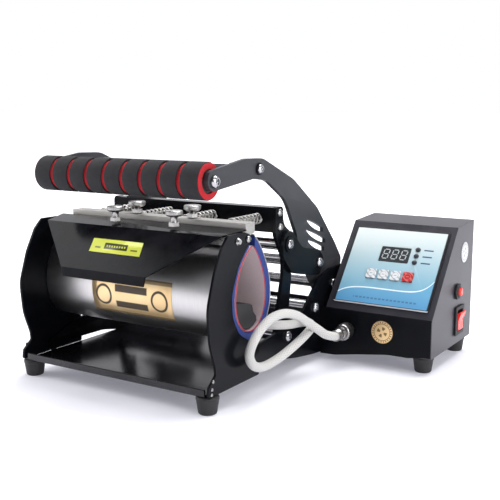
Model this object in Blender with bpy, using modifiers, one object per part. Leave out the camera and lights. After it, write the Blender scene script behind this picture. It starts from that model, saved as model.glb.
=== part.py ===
"""Mug heat press, modelled as an assembly of separate pieces.

Every size below is in millimetres. The design frame has X along the heater, Y to the back and
Z up from the table, with X = 0 half way between the end plates. The whole assembly hangs from
one empty, which puts the object's origin under the middle of its outer box.
"""
import math

import bmesh
import bpy
from mathutils import Euler, Matrix, Vector

MM = 0.001

# Driving dimensions, in millimetres.
GAP = 0.3                     # clearance between touching pieces
FOOT_HEIGHT = 16.7
BASE_Z = 17.0                 # underside of the base sheet
SHEET = 2.0                   # base and cover sheet
PLATE_IN = 115.5              # inner face of an end plate
PLATE_T = 2.5
FRAME_IN = 112.2              # inner face of a side frame
FRAME_T = 3.0
ARM_IN = 102.5                # inner face of a lever arm and of an upright
ARM_T = 4.0
LINK_IN = 107.0               # inner face of a link
LINK_T = 3.5

LEVER_PIVOT = (234.0, 80.0)   # (Y, Z) of each cross axis
LINK_PIVOT = (209.0, 107.0)
PUSH_PIVOT = (143.0, 136.0)
FRAME_PIVOT = (132.0, 42.0)
TIE_AXIS = (192.0, 60.0)
GRIP_AXIS = (14.0, 209.6)
BRACE_AXIS = (90.0, 216.5)
PIVOT_BOLT_R = 3.0
SHAFT_R = 7.0

# The heater's section is a teardrop: (half width factor, half height, centre Y, centre Z).
DROP_INNER = (29.8, 40.5, 62.0, 104.0)
DROP_OUTER = (45.2, 53.0, 60.0, 106.0)
TOP_LEAN = 3.0                # how far the top of the section leans back
HEATER_HALF = 114.6

SPRING_AXIS = (96.0, 163.6)   # (Y, Z) on the spring axes
SPRING_X = (-78.0, -25.0, 31.0, 86.0)
THUMB_FRONT_X = (-26.0, 47.0)
THUMB_REAR_X = (-23.0, 47.0)
THUMB_FRONT_Y = 32.0
THUMB_FRONT_Z = 162.3
GUARD_TOP_Z = 162.2
GUARD_FOLD_Z = 158.8
RAIL_AXIS = (34.6, 153.6)     # (Y, Z) of the front clamp rail

GRIP_R = 17.5
GRIP_HALF = 100.7

BOX_LEFT = 121.0
BOX_RIGHT = 243.0
BOX_FRONT = 207.0
BOX_BACK = 331.0
BOX_FLOOR = 17.2
BOX_SLOPE_LOW = 59.0
BOX_SLOPE_HIGH = 147.0
BOX_SLOPE_BACK = 278.0
BOX_TOP_BACK = 150.0
WALL = 1.6
APRON_T = 1.4

SOCKET_X = 149.0
SOCKET_Z = 37.0
SWITCH_Y = 289.0
SWITCH_Z = 43.0
RESET_Y = 281.0
RESET_Z = 76.5
ROCKER_PROUD = 6.0

FOOT_R = 11.0
FRONT_FOOT = (110.0, -4.5)
GUARD_LIP_Y = -20.0
INLET_PROUD = 3.0

LEFT_X = -FRONT_FOOT[0] - FOOT_R
RIGHT_X = BOX_RIGHT + ROCKER_PROUD
BACK_Y = BOX_BACK + INLET_PROUD
ORIGIN_X = (LEFT_X + RIGHT_X) / 2
ORIGIN_Y = (GUARD_LIP_Y + BACK_Y) / 2

CHANNEL_Y = (122.0, 136.0)
CHANNEL_Z = (150.0, 175.5)
CHANNEL_SCREWS = ((129.5, 170.0), (130.5, 155.0))
BAR_Y = (54.0, 70.0)
BAR_TOP = 167.8
BAR_LEFT, BAR_RIGHT = -105.0, 114.0
CLAMP_ROD = (54.0, 154.6)
PANEL = (127.5, 236.5, 8.0, 105.0)   # the panel's left, right, foot and head on the slope
KEY_X = (162.0, 176.0, 190.0, 204.0)
KEY_RISE = 46.0
WINDOW = (164.5, 199.0, 62.5, 81.5)   # left, right, foot and head on the slope
LED_RISE = (64.5, 72.5, 80.5)
LED_X = 206.5
ROCKER_AXIS_X = -0.6
ROCKER_REST = 8.0

SLEEVE_R = 4.5
SLEEVE_ROUTE = (              # centre line from the plug to the heater
    (149.0, 179.5, 37.0), (149.0, 172.0, 37.3), (146.0, 158.0, 42.0), (142.5, 145.5, 50.5),
    (138.0, 131.0, 60.4), (134.5, 115.0, 70.0), (131.5, 95.5, 75.2), (130.0, 74.0, 74.4),
    (129.0, 56.0, 67.0), (129.0, 42.5, 57.0), (129.5, 36.0, 46.5), (130.5, 42.0, 36.0),
    (132.0, 57.0, 31.4), (134.0, 82.0, 33.6), (135.0, 110.0, 39.2), (134.5, 137.0, 45.5),
    (131.5, 154.0, 49.5), (126.5, 155.5, 53.0), (125.0, 140.0, 55.6), (124.5, 119.0, 58.2),
    (121.0, 105.0, 60.2), (112.0, 98.0, 60.8), (105.0, 96.0, 60.6),
)


# ---------------------------------------------------------------- scene, materials, helpers

def clear_scene():
    for obj in list(bpy.data.objects):
        bpy.data.objects.remove(obj, do_unlink=True)


def new_collection(name):
    collection = bpy.data.collections.new(name)
    bpy.context.scene.collection.children.link(collection)
    return collection


def finish(name, colour, roughness, metallic=0.0, emission=0.0):
    """A Principled material with one colour, roughness and metallic value."""
    material = bpy.data.materials.new(name)
    material.use_nodes = True
    shader = material.node_tree.nodes["Principled BSDF"]
    shader.inputs["Base Color"].default_value = (*colour, 1.0)
    shader.inputs["Roughness"].default_value = roughness
    shader.inputs["Metallic"].default_value = metallic
    if emission:
        shader.inputs["Emission Color"].default_value = (*colour, 1.0)
        shader.inputs["Emission Strength"].default_value = emission
    return material


def empty(name, location, parent=None):
    """An empty that carries pieces; location is in the design frame."""
    obj = bpy.data.objects.new(name, None)
    PARTS.objects.link(obj)
    obj["design"] = [float(v) for v in location]
    if parent is None:
        obj.location = Vector(location) * MM
        obj["design"] = [0.0, 0.0, 0.0]
    else:
        obj.parent = parent
        obj.location = (Vector(location) - Vector(parent["design"])) * MM
    return obj


def place(obj, location, turn, carrier):
    """Hang a piece on its carrier at a place and turn given in the design frame."""
    obj.parent = carrier
    obj.location = (Vector(location) - Vector(carrier["design"])) * MM
    obj.rotation_euler = turn


def add_mesh(name, bm, material, location=(0, 0, 0), turn=(0, 0, 0), carrier=None):
    mesh = bpy.data.meshes.new(name)
    bm.to_mesh(mesh)
    bm.free()
    mesh.materials.append(material)
    obj = bpy.data.objects.new(name, mesh)
    PARTS.objects.link(obj)
    place(obj, location, turn, carrier or ASSEMBLY)
    return obj


def circle(u, v, radius, steps=20):
    return [(u + radius * math.cos(2 * math.pi * i / steps),
             v + radius * math.sin(2 * math.pi * i / steps)) for i in range(steps)]


def rounded(corners, steps=5):
    """A closed outline through corners (u, v, radius), each rounded with an arc of its radius."""
    points = []
    for i, (u, v, radius) in enumerate(corners):
        here = Vector((u, v))
        if radius <= 0:
            points.append((u, v))
            continue
        before = (Vector(corners[i - 1][:2]) - here).normalized()
        after = (Vector(corners[(i + 1) % len(corners)][:2]) - here).normalized()
        half = before.angle(after) / 2
        reach = radius / math.tan(half)
        centre = here + (before + after).normalized() * (radius / math.sin(half))
        start = here + before * reach - centre
        end = here + after * reach - centre
        sweep = math.atan2(start.cross(end), start.dot(end))
        for k in range(steps + 1):
            spoke = Matrix.Rotation(sweep * k / steps, 2) @ start
            points.append(tuple(centre + spoke))
    return points


PLANES = {                    # turns that stand a flat outline in its plane
    "YZ": (math.pi / 2, 0.0, math.pi / 2),
    "XZ": (math.pi / 2, 0.0, 0.0),
}


def flat_curve(name, rings, thickness):
    """A flat outline with its holes, filled and extruded to its thickness."""
    curve = bpy.data.curves.new(name, "CURVE")
    curve.dimensions = "2D"
    curve.fill_mode = "BOTH"
    curve.extrude = thickness / 2 * MM
    for ring in rings:
        spline = curve.splines.new("POLY")
        spline.points.add(len(ring) - 1)
        spline.use_cyclic_u = True
        for point, (u, v) in zip(spline.points, ring):
            point.co = (u * MM, v * MM, 0.0, 1.0)
    return curve


def sheet(name, rings, low, high, material, plane="YZ", carrier=None, turn=None, at=(0, 0, 0)):
    """A plate or bar: outline rings in a plane, from one level to another along its normal."""
    curve = flat_curve(name, rings, high - low)
    curve.materials.append(material)
    obj = bpy.data.objects.new(name, curve)
    PARTS.objects.link(obj)
    turn = PLANES[plane] if turn is None else turn
    normal = Euler(turn).to_matrix() @ Vector((0, 0, 1))
    place(obj, Vector(at) + normal * ((low + high) / 2), turn, carrier or ASSEMBLY)
    return obj


def solid(obj):
    """Make a curve piece a welded mesh piece, in the same place."""
    bpy.context.view_layer.update()
    graph = bpy.context.evaluated_depsgraph_get()
    mesh = bpy.data.meshes.new_from_object(obj.evaluated_get(graph))
    bm = bmesh.new()
    bm.from_mesh(mesh)
    bmesh.ops.remove_doubles(bm, verts=bm.verts, dist=0.00002)
    bmesh.ops.recalc_face_normals(bm, faces=bm.faces)
    bm.to_mesh(mesh)
    bm.free()
    name, parent, world = obj.name, obj.parent, obj.matrix_world.copy()
    bpy.data.objects.remove(obj, do_unlink=True)
    made = bpy.data.objects.new(name, mesh)
    PARTS.objects.link(made)
    made.parent = parent
    bpy.context.view_layer.update()
    made.matrix_world = world
    return made


def join(obj, tool, operation="DIFFERENCE"):
    """Cut a piece with a tool, or unite them; the tool is kept as a wire guide."""
    for collection in tool.users_collection:
        collection.objects.unlink(tool)
    CUTTERS.objects.link(tool)
    tool.hide_render = True
    tool.display_type = "WIRE"
    boolean = obj.modifiers.new(tool.name, "BOOLEAN")
    boolean.operation = operation
    boolean.object = tool


def block(name, low, high, material, carrier=None, bevel=0.0, turn=(0, 0, 0), at=None):
    """A box between two corners, with its edges rounded by a Bevel where asked."""
    size = Vector(high) - Vector(low)
    middle = (Vector(high) + Vector(low)) / 2 if at is None else Vector(at)
    bm = bmesh.new()
    bmesh.ops.create_cube(bm, size=1.0)
    bmesh.ops.scale(bm, vec=size * MM, verts=bm.verts)
    obj = add_mesh(name, bm, material, middle, turn, carrier)
    if bevel:
        round_edges(obj, bevel)
    return obj


def round_edges(obj, width, segments=2):
    bevel = obj.modifiers.new("Rounded edges", "BEVEL")
    bevel.width = width * MM
    bevel.segments = segments
    bevel.limit_method = "ANGLE"


def turned(name, profile, material, location, turn=(0, 0, 0), steps=24, carrier=None):
    """A turned piece: profile (height, radius) from its top to its bottom, about its own Z."""
    mesh = bpy.data.meshes.new(name)
    verts = [(radius * MM, 0.0, height * MM) for height, radius in profile]
    mesh.from_pydata(verts, [(i, i + 1) for i in range(len(verts) - 1)], [])
    mesh.materials.append(material)
    obj = bpy.data.objects.new(name, mesh)
    PARTS.objects.link(obj)
    screw = obj.modifiers.new("Turned", "SCREW")
    screw.steps = steps
    screw.render_steps = steps
    screw.use_merge_vertices = True
    screw.merge_threshold = 0.00001
    place(obj, location, turn, carrier or ASSEMBLY)
    return obj


ALONG_X = (0.0, math.pi / 2, 0.0)
ALONG_MINUS_Y = (math.pi / 2, 0.0, 0.0)


def cross_shaft(name, axis, body_end, neck_end, neck_r, head_r, head_t, material, carrier, body_r=SHAFT_R):
    """A rod between the sides, with a thinner bolt and a button head at each end."""
    y, z = axis
    half = [
        (neck_end + head_t, 0.0), (neck_end + head_t, head_r * 0.55), (neck_end + head_t * 0.6,
            head_r * 0.9),
        (neck_end, head_r), (neck_end, neck_r), (body_end, neck_r), (body_end, body_r),
    ]
    profile = half + [(-height, radius) for height, radius in reversed(half)]
    return turned(name, profile, material, (0, y, z), ALONG_X, 20, carrier)


def drop_point(share, angle):
    """A point of the heater's section: share 0 is its inner face, 1 its outer, angle 0 the top."""
    wide, tall, y, z = (a + (b - a) * share for a, b in zip(DROP_INNER, DROP_OUTER))
    lean = TOP_LEAN * max(0.0, math.cos(angle)) ** 4
    side = math.sin(angle) * math.sqrt(abs(math.sin(angle / 2)))
    return (y + lean - wide * side, z + tall * math.cos(angle))


def drop_strip(inner, outer, start, end, steps):
    """The closed outline of one layer of the heater, open at the top between start and end."""
    turns = [start + (end - start) * i / steps for i in range(steps + 1)]
    return [drop_point(inner, t) for t in turns] + [drop_point(outer, t) for t in reversed(turns)]


def mirrored(build):
    """Build a piece on each side: side is -1 on the left and 1 on the right."""
    for side, word in ((-1, "left"), (1, "right")):
        build(side, word)


def span(side, inner, thickness):
    """The levels of a plate on one side, low first."""
    return (inner, inner + thickness) if side > 0 else (-inner - thickness, -inner)


# ---------------------------------------------------------------- base and side plates

def base_pan():
    """Folded floor sheet with raised front and rear lips."""
    front, back, half = -12.5, 316.0, FRAME_IN - GAP
    profile = [
        (front, BASE_Z, 0), (back, BASE_Z, 0), (back, BASE_Z + 24, 0), (back - SHEET, BASE_Z + 24, 0),
        (back - SHEET, BASE_Z + SHEET, 0), (front + SHEET, BASE_Z + SHEET, 0),
        (front + SHEET, BASE_Z + 7, 0), (front, BASE_Z + 7, 0),
    ]
    sheet("base_pan", [rounded(profile)], -half, half, BLACK)


def side_frame(side, word):
    """Side plate of the base, which carries the cross shafts on a raised rear bracket."""
    outer = rounded([
        (20, 30, 4), (60, 45, 10), (84, 47, 14), (110, 50, 30), (160, 56, 8), (202, 92, 8), (228, 98, 10),
        (266, 98, 14), (296, 88, 20), (318, 60, 14), (318, 17, 4), (262, 17, 30), (226, 17, 12),
        (207, 7, 10), (186, 9, 30), (150, 14, 60), (104, 23, 40), (56, 24, 30), (20, 17, 4),
    ])
    holes = [circle(*axis, PIVOT_BOLT_R + GAP, 12) for axis in (LEVER_PIVOT, FRAME_PIVOT, TIE_AXIS)]
    low, high = span(side, FRAME_IN, FRAME_T)
    sheet("side_frame_" + word, [outer] + holes, low, high, BLACK)


def end_plate(side, word):
    """Curved plate that holds one end of the heater, with the dished cut-out at its back."""
    outer = rounded([
        (19, 161, 5), (9, 151.5, 12), (-3, 130, 40), (-14, 98, 40), (-11, 66, 50), (-3, 44, 5), (-2, 36, 3),
        (-13, 27, 3), (-14, 17.6, 1.5), (30, 17.6, 60), (72, 17.6, 2), (72, 49, 6), (53, 56, 14), (36, 66,
            20),
        (25.5, 84, 24), (24.5, 106, 26), (36, 131, 40), (54.5, 150, 4), (56, 158, 3), (46, 161, 3),
    ])
    hole = circle(*RAIL_AXIS, 2.0 + GAP, 12)
    low, high = span(side, PLATE_IN, PLATE_T)
    sheet("end_plate_" + word, [outer, hole], low, high, BLACK)


def front_clamp_rail():
    """Square rail that grips the front hem of the heater, held by a screw through each plate."""
    half = PLATE_IN - GAP
    y, z = RAIL_AXIS
    rail = block("front_clamp_rail", (-half, y - 4, z - 4), (half, y + 4, z + 4), STEEL)
    head = PLATE_IN + PLATE_T + GAP
    profile = [(head + 2.4, 0), (head + 2.4, 2.4), (head, 3.6), (head, 2.0), (half - 6, 2.0), (half - 6, 0)]
    for sign in (1, -1):
        turn = ALONG_X if sign > 0 else (0.0, -math.pi / 2, 0.0)
        screw = turned("rail_screw_%d" % sign, profile, STEEL, (0, y, z), turn, 12)
        join(rail, screw, "UNION")


def heat_guard():
    """Folded sheet over the front of the heater: flat top, sloping visor and a short lip."""
    rows = [(PLATE_IN + 1.5, 51.0, GUARD_TOP_Z), (108.5, 20.0, GUARD_FOLD_Z),
            (52.0, GUARD_LIP_Y + 0.75, 122.0), (50.0, GUARD_LIP_Y + 0.75, 113.0)]
    bm = bmesh.new()
    ends = [[bm.verts.new((sign * x * MM, y * MM, z * MM)) for sign in (-1, 1)] for x, y, z in rows]
    for (a, b), (c, d) in zip(ends, ends[1:]):
        bm.faces.new((a, b, d, c))
    obj = add_mesh("heat_guard", bm, BLACK)
    skin = obj.modifiers.new("Sheet", "SOLIDIFY")
    skin.thickness = 1.5 * MM
    skin.offset = 0.0
    skin.use_even_offset = True


# ---------------------------------------------------------------- heater

def heater():
    """Three layers: silicone heating mat, blue insulating blanket and steel outer band."""
    top = math.radians
    half = HEATER_HALF + 0.4
    sheet("heating_mat", [drop_strip(0.0, 0.11, top(20), top(350), 36)], -half, half, RED)
    sheet("heat_blanket", [drop_strip(0.14, 0.86, top(38), top(340), 34)], -half, half, BLUE)
    sheet("steel_band", [drop_strip(0.91, 1.0, top(36), top(341), 34)], -HEATER_HALF, HEATER_HALF, BRUSHED)


def rim_stop():
    """Black rubber block low in the mouth of the heater, which stops the rim of a mug."""
    floor = [drop_point(-0.05, math.radians(a)) for a in range(104, 221, 12)]
    roof = [(76.0, 75.0), (71.5, 79.5), (69.5, 86.5), (66.0, 88.5), (48.0, 91.5), (39.0, 93.5)]
    sheet("rim_stop", [floor + roof], 96.0, 112.0, RUBBER)


# ---------------------------------------------------------------- lever

def lever_arm(side, word):
    """Plate arm from the grip over the heater to the lever pivot, with three wave-cut slots."""
    outer = rounded([
        (4, 219, 9), (66, 227.5, 20), (97, 226.5, 30), (158, 202, 60), (211, 167.5, 40), (254, 124, 30),
        (272, 103, 8), (264, 76, 16), (248, 60, 14), (222, 60, 14), (198, 88, 14), (178, 113, 14),
        (165, 145, 30), (142, 182, 40), (104, 204.5, 30), (80, 207.5, 20), (4, 200, 9),
    ])
    holes = [circle(*axis, PIVOT_BOLT_R + GAP, 12) for axis in (GRIP_AXIS, BRACE_AXIS, LINK_PIVOT)]
    holes.append(circle(*LEVER_PIVOT, 5.0 + GAP, 16))
    for left, right, rise, fall in ((188, 225, 156.0, 15.0), (187, 231, 145.5, 17.5), (191, 229, 133.5,
                                    14.5)):
        holes.append(wave_slot(left, right, rise, fall))
    low, high = span(side, ARM_IN, ARM_T)
    sheet("lever_arm_" + word, [outer] + holes, low, high, ARM_GREY, carrier=LEVER)


def wave_slot(left, right, rise, fall):
    """A curved slot that runs down to the back, pointed at its front end."""
    steps = 6
    upper, lower = [], []
    for i in range(steps + 1):
        share = i / steps
        y = left + (right - left) * share
        z = rise - fall * share ** 0.8
        half = 0.5 + 3.0 * math.sin(math.pi * (share * 0.7 + 0.1))
        upper.append((y, z + half))
        lower.append((y, z - half))
    return lower + upper[::-1]


def lever_rods():
    end = ARM_IN + ARM_T + GAP
    cross_shaft("grip_rod", GRIP_AXIS, ARM_IN - GAP, end, PIVOT_BOLT_R, 6.0, 3.5, CHROME, LEVER, 7.4)
    cross_shaft("brace_rod", BRACE_AXIS, ARM_IN - GAP, end, PIVOT_BOLT_R, 6.0, 3.5, CHROME, LEVER, 5.0)
    cross_shaft("link_shaft", LINK_PIVOT, ARM_IN - GAP, LINK_IN + LINK_T + GAP, PIVOT_BOLT_R, 5.5, 3.2,
                CHROME, LEVER)


def foam_grip():
    """Foam sleeve on the grip rod."""
    bore, half = 7.4 + GAP, GRIP_HALF
    profile = [(half, bore), (half, GRIP_R - 1.5), (half - 1.5, GRIP_R), (-half + 1.5, GRIP_R),
               (-half, GRIP_R - 1.5), (-half, bore), (half, bore)]
    turned("foam_grip", profile, FOAM, (0, *GRIP_AXIS), ALONG_X, 32, LEVER)


# ---------------------------------------------------------------- links and push frame

def link(side, word):
    """Drop link from the lever to the push frame; its front hole is loose on its bolt."""
    outer = rounded([
        (130, 148, 12), (148, 150, 10), (172, 128, 30), (208, 122, 14), (223, 110, 10), (212, 93, 10),
        (190, 96, 30), (150, 104, 30), (131, 124, 12),
    ])
    holes = [circle(*LINK_PIVOT, PIVOT_BOLT_R + GAP, 12), circle(*PUSH_PIVOT, 7.6, 16)]
    low, high = span(side, LINK_IN, LINK_T)
    sheet("link_" + word, [outer] + holes, low, high, BLACK, carrier=LINK)


def upright(side, word):
    """Upright of the push frame, from its foot pivot to the rear channel."""
    outer = rounded([
        (122, 176, 4), (137.3, 176, 5), (137.3, 157, 14), (156, 146, 12), (157, 128, 12), (154, 92, 60),
        (150, 66, 40), (146, 28, 12), (118, 28, 12), (128, 68, 60), (138, 104, 50), (138, 122, 20), (122,
            147, 14),
    ])
    holes = [circle(*axis, PIVOT_BOLT_R + GAP, 12) for axis in (FRAME_PIVOT, PUSH_PIVOT)]
    holes += [circle(y, z, 2.0 + GAP, 10) for y, z in CHANNEL_SCREWS]
    low, high = span(side, ARM_IN, ARM_T)
    sheet("upright_" + word, [outer] + holes, low, high, BLACK, carrier=PUSH)


def push_channel():
    """Channel across the push frame; the spring studs slide through its web."""
    front, back = CHANNEL_Y
    low, high = CHANNEL_Z
    wall = 2.5
    ring = [(front, low), (back, low), (back, low + wall), (front + wall, low + wall),
            (front + wall, high - wall), (back, high - wall), (back, high), (front, high)]
    side = ARM_IN - GAP
    channel = solid(sheet("push_channel", [ring], -side, side, BLACK, carrier=PUSH))
    for i, x in enumerate(SPRING_X):
        bore = turned("stud_bore_%d" % i, [(6, 0), (6, 2.8), (-6, 2.8), (-6, 0)], BLACK,
                      (x, front, SPRING_AXIS[1]), (math.pi / 2, 0, 0), 12, PUSH)
        join(channel, bore)


def frame_shafts():
    outside = FRAME_IN + FRAME_T + GAP
    cross_shaft("push_shaft", PUSH_PIVOT, ARM_IN - GAP, LINK_IN + LINK_T + GAP, PIVOT_BOLT_R, 8.2, 3.0,
                CHROME, PUSH)
    cross_shaft("tie_rod", TIE_AXIS, FRAME_IN - GAP, outside, PIVOT_BOLT_R, 5.5, 3.2, CHROME, ASSEMBLY)
    cross_shaft("frame_shaft", FRAME_PIVOT, ARM_IN - GAP, outside, PIVOT_BOLT_R, 5.5, 3.2, CHROME, ASSEMBLY)
    y, z = LEVER_PIVOT
    half = [(outside + 3.2, 0), (outside + 3.2, 3.0), (outside, 5.5), (outside, PIVOT_BOLT_R),
            (FRAME_IN - GAP, PIVOT_BOLT_R), (FRAME_IN - GAP, 5.0), (ARM_IN - GAP, 5.0), (ARM_IN - GAP,
                SHAFT_R)]
    profile = half + [(-height, radius) for height, radius in reversed(half)]
    turned("lever_shaft", profile, CHROME, (0, y, z), ALONG_X, 20, ASSEMBLY)


# ---------------------------------------------------------------- spring clamp


def clamp_bar():
    """Silver angle bar that grips the rear hem: top flange, front web and an ear at each end."""
    wall, (front, back) = 1.8, BAR_Y
    ring = [(front, 160.8), (front + wall, 160.8), (front + wall, BAR_TOP - wall), (back - wall,
            BAR_TOP - wall),
            (back - wall, 157.4), (back, 157.4), (back, BAR_TOP), (front, BAR_TOP)]
    bar = solid(sheet("clamp_bar", [ring], BAR_LEFT, BAR_RIGHT, SILVER, carrier=CLAMP))
    ear = rounded([
        (front, BAR_TOP - 1, 0), (front, 160.8, 0), (49.5, 157, 3), (50, 150.6, 3), (57.5, 150, 3), (62,
            156, 3),
        (back, 157.6, 0), (back, BAR_TOP - 1, 0)])
    for number, low in enumerate((BAR_LEFT, BAR_RIGHT - 3.0)):
        join(bar, solid(sheet("bar_ear_%d" % number, [ear], low, low + 3.0, SILVER, carrier=CLAMP)),
             "UNION")
    for i, x in enumerate(SPRING_X):
        stud = turned("stud_%d" % i, [(0, 0), (0, 2.4), (-64, 2.4), (-64, 0)], STEEL,
                      (x, back - 1.0, SPRING_AXIS[1]), (math.pi / 2, 0, 0), 12, CLAMP)
        join(bar, stud, "UNION")


def clamp_rod():
    """Bright rod between the bar's ears, which the rear hem of the heater is rolled on."""
    left, right = BAR_LEFT + 3.0 + GAP, BAR_RIGHT - 3.0 - GAP
    turned("clamp_rod", [(right, 0), (right, 3.0), (left, 3.0), (left, 0)], CHROME,
           (0, *CLAMP_ROD), ALONG_X, 12, CLAMP)


def coil_spring(index, x):
    """Compression spring on one stud, between the clamp bar and the channel."""
    turns, per_turn, coil_r = 8, 9, 5.0
    start, end = BAR_Y[1] + 0.8, CHANNEL_Y[0] - 0.8
    curve = bpy.data.curves.new("clamp_spring_%d" % index, "CURVE")
    curve.dimensions = "3D"
    curve.bevel_depth = 0.6 * MM
    curve.bevel_resolution = 1
    curve.use_fill_caps = True
    curve.materials.append(SILVER)
    spline = curve.splines.new("POLY")
    count = turns * per_turn + 1
    spline.points.add(count - 1)
    for i, point in enumerate(spline.points):
        angle = 2 * math.pi * i / per_turn
        along = start + (end - start) * i / (count - 1)
        up = SPRING_AXIS[1] + coil_r * math.sin(angle)
        point.co = (coil_r * math.cos(angle) * MM, along * MM, up * MM, 1.0)
    obj = bpy.data.objects.new("clamp_spring_%d" % index, curve)
    PARTS.objects.link(obj)
    place(obj, (x, 0, 0), (0, 0, 0), PUSH)


def thumbscrew(name, x, y, z, carrier, stem):
    """Knurled thumbscrew: round head, collar and a hexagon nut on its stem."""
    top = stem + 6.5
    profile = [(top, 0), (top, 7.8), (top - 0.9, 8.7), (top - 4.0, 8.7), (stem + 0.6, 6.6), (stem, 3.4),
               (4.2, 3.4), (4.2, 5.2), (0.3, 5.2), (0.3, 0)]
    pivot = empty(name + "_axis", (x, y, z), carrier)
    obj = turned(name, profile, KNURL, (x, y, z), (0, 0, 0), 18, carrier)
    obj.parent = pivot
    obj.location = (0, 0, 0)
    obj.rotation_euler = (0, 0, 0)


def thumbscrews():
    words = ("left", "right")
    for x, word in zip(THUMB_FRONT_X, words):
        thumbscrew("thumbscrew_front_" + word, x, THUMB_FRONT_Y, THUMB_FRONT_Z, ASSEMBLY, 9.6)
    for x, word in zip(THUMB_REAR_X, words):
        thumbscrew("thumbscrew_rear_" + word, x, sum(BAR_Y) / 2, BAR_TOP, CLAMP, 6.4)


# ---------------------------------------------------------------- control box

SLOPE_ANGLE = math.atan2(BOX_SLOPE_HIGH - BOX_SLOPE_LOW, BOX_SLOPE_BACK - BOX_FRONT)
SLOPE_LENGTH = math.hypot(BOX_SLOPE_HIGH - BOX_SLOPE_LOW, BOX_SLOPE_BACK - BOX_FRONT)
SLOPE_TURN = (SLOPE_ANGLE, 0.0, 0.0)
SLOPE_FOOT = (0.0, BOX_FRONT, BOX_SLOPE_LOW)


def on_slope(x, rise, out):
    """A point on the sloping face: along X, up the slope and out from it."""
    return (x, BOX_FRONT + math.cos(SLOPE_ANGLE) * rise - math.sin(SLOPE_ANGLE) * out,
            BOX_SLOPE_LOW + math.sin(SLOPE_ANGLE) * rise + math.cos(SLOPE_ANGLE) * out)


def box_outline(inset, open_back=False):
    """The box's side view, drawn in by its wall; the hollow runs out at the back and bottom."""
    lift = inset * (1 - math.cos(SLOPE_ANGLE)) / math.sin(SLOPE_ANGLE)
    shift = inset * math.tan((math.pi / 2 - SLOPE_ANGLE) / 2 + 0.35) * 0.6
    back = BOX_BACK + 20 if open_back else BOX_BACK
    floor = BOX_FLOOR - 20 if open_back else BOX_FLOOR
    top_fall = (BOX_TOP_BACK - BOX_SLOPE_HIGH) / (BOX_BACK - BOX_SLOPE_BACK)
    top = BOX_TOP_BACK - inset + (back - BOX_BACK) * top_fall
    return [(BOX_FRONT + inset, floor), (BOX_FRONT + inset, BOX_SLOPE_LOW - lift),
            (BOX_SLOPE_BACK + shift, BOX_SLOPE_HIGH - inset * 1.05), (back, top), (back, floor)]


def box_shell():
    """Folded cover of the control box: front, sloping frame, top and both sides in one."""
    shell = solid(sheet("control_box_shell", [box_outline(0)], BOX_LEFT, BOX_RIGHT, BLACK))
    hollow = solid(sheet("box_hollow", [box_outline(WALL, True)], BOX_LEFT + WALL, BOX_RIGHT - WALL, BLACK))
    join(shell, hollow)
    x0, x1, low, high = PANEL
    window = block("slope_opening", (0, 0, 0), (x1 - x0 - 6, high - low - 6, 12), BLACK, turn=SLOPE_TURN,
                   at=on_slope((x0 + x1) / 2, (low + high) / 2, 0))
    join(shell, window)
    side = block("rocker_opening", (BOX_RIGHT - 6, SWITCH_Y - 9.9, SWITCH_Z - 13.4),
                 (BOX_RIGHT + 6, SWITCH_Y + 9.9, SWITCH_Z + 13.4), BLACK)
    join(shell, side)
    bore = turned("reset_bore", [(8, 0), (8, 5.8), (-8, 5.8), (-8, 0)], BLACK, (BOX_RIGHT, RESET_Y,
                  RESET_Z), ALONG_X, 16)
    join(shell, bore)
    socket = turned("socket_bore", [(8, 0), (8, 7.6), (-8, 7.6), (-8, 0)], BLACK, (SOCKET_X, BOX_FRONT,
                    SOCKET_Z),
                    ALONG_MINUS_Y, 20)
    join(shell, socket)


def box_cover():
    """Rear wall and bottom of the control box, folded from one sheet, with the inlet's opening."""
    back, low, high = BOX_BACK, BOX_FLOOR, BOX_TOP_BACK - WALL - GAP
    inner = WALL + GAP
    ring = [(BOX_FRONT + inner, low), (back, low), (back, high), (back - WALL, high), (back - WALL,
            low + WALL),
            (BOX_FRONT + inner, low + WALL)]
    cover = solid(sheet("box_rear_cover", [ring], BOX_LEFT + inner, BOX_RIGHT - inner, BLACK))
    hole = block("inlet_opening", (INLET_X - 13.8, back - 8, INLET_Z - 10.3), (INLET_X + 13.8, back + 8,
                 INLET_Z + 10.3), BLACK)
    join(cover, hole)


INLET_X, INLET_Z = 182.0, 48.0


def power_inlet():
    """Mains inlet at the back of the box: flange, body and a cavity for a lead's plug."""
    back = BOX_BACK
    flange = block("power_inlet", (INLET_X - 20, back + GAP, INLET_Z - 14), (INLET_X + 20,
                   back + INLET_PROUD, INLET_Z + 14), RUBBER)
    body = block("inlet_body", (INLET_X - 13.5, back - 20, INLET_Z - 10), (INLET_X + 13.5, back + 1,
                 INLET_Z + 10), RUBBER)
    join(flange, body, "UNION")
    cavity = block("inlet_cavity", (INLET_X - 11.5, back - 15, INLET_Z - 7.5), (INLET_X + 11.5, back + 9,
                   INLET_Z + 7.5), RUBBER)
    join(flange, cavity)


def apron():
    """Front sheet under the panel; its lower edge swings down beside the side frame."""
    left, right = FRAME_IN + FRAME_T + GAP, BOX_RIGHT
    ring = rounded([
        (left, 6, 0), (134, 6.5, 30), (160, 11, 40), (196, 16, 60), (218, 16, 30), (236, 19, 10), (right,
            19, 0),
        (right, BOX_SLOPE_LOW, 2), (left, BOX_SLOPE_LOW, 2),
    ])
    bore = circle(SOCKET_X, SOCKET_Z, 7.6, 20)
    at = (0, BOX_FRONT - GAP - APRON_T, 0)
    sheet("front_apron", [ring, bore], -APRON_T, 0.0, BLACK, "XZ", at=at)


def slope_sheet(name, rings, low, high, material, carrier=None):
    return sheet(name, rings, low, high, material, turn=SLOPE_TURN, at=SLOPE_FOOT, carrier=carrier)


def slope_box(x0, x1, low, high, radius=1.0):
    return rounded([(x0, low, radius), (x1, low, radius), (x1, high, radius), (x0, high, radius)], 3)


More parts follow.
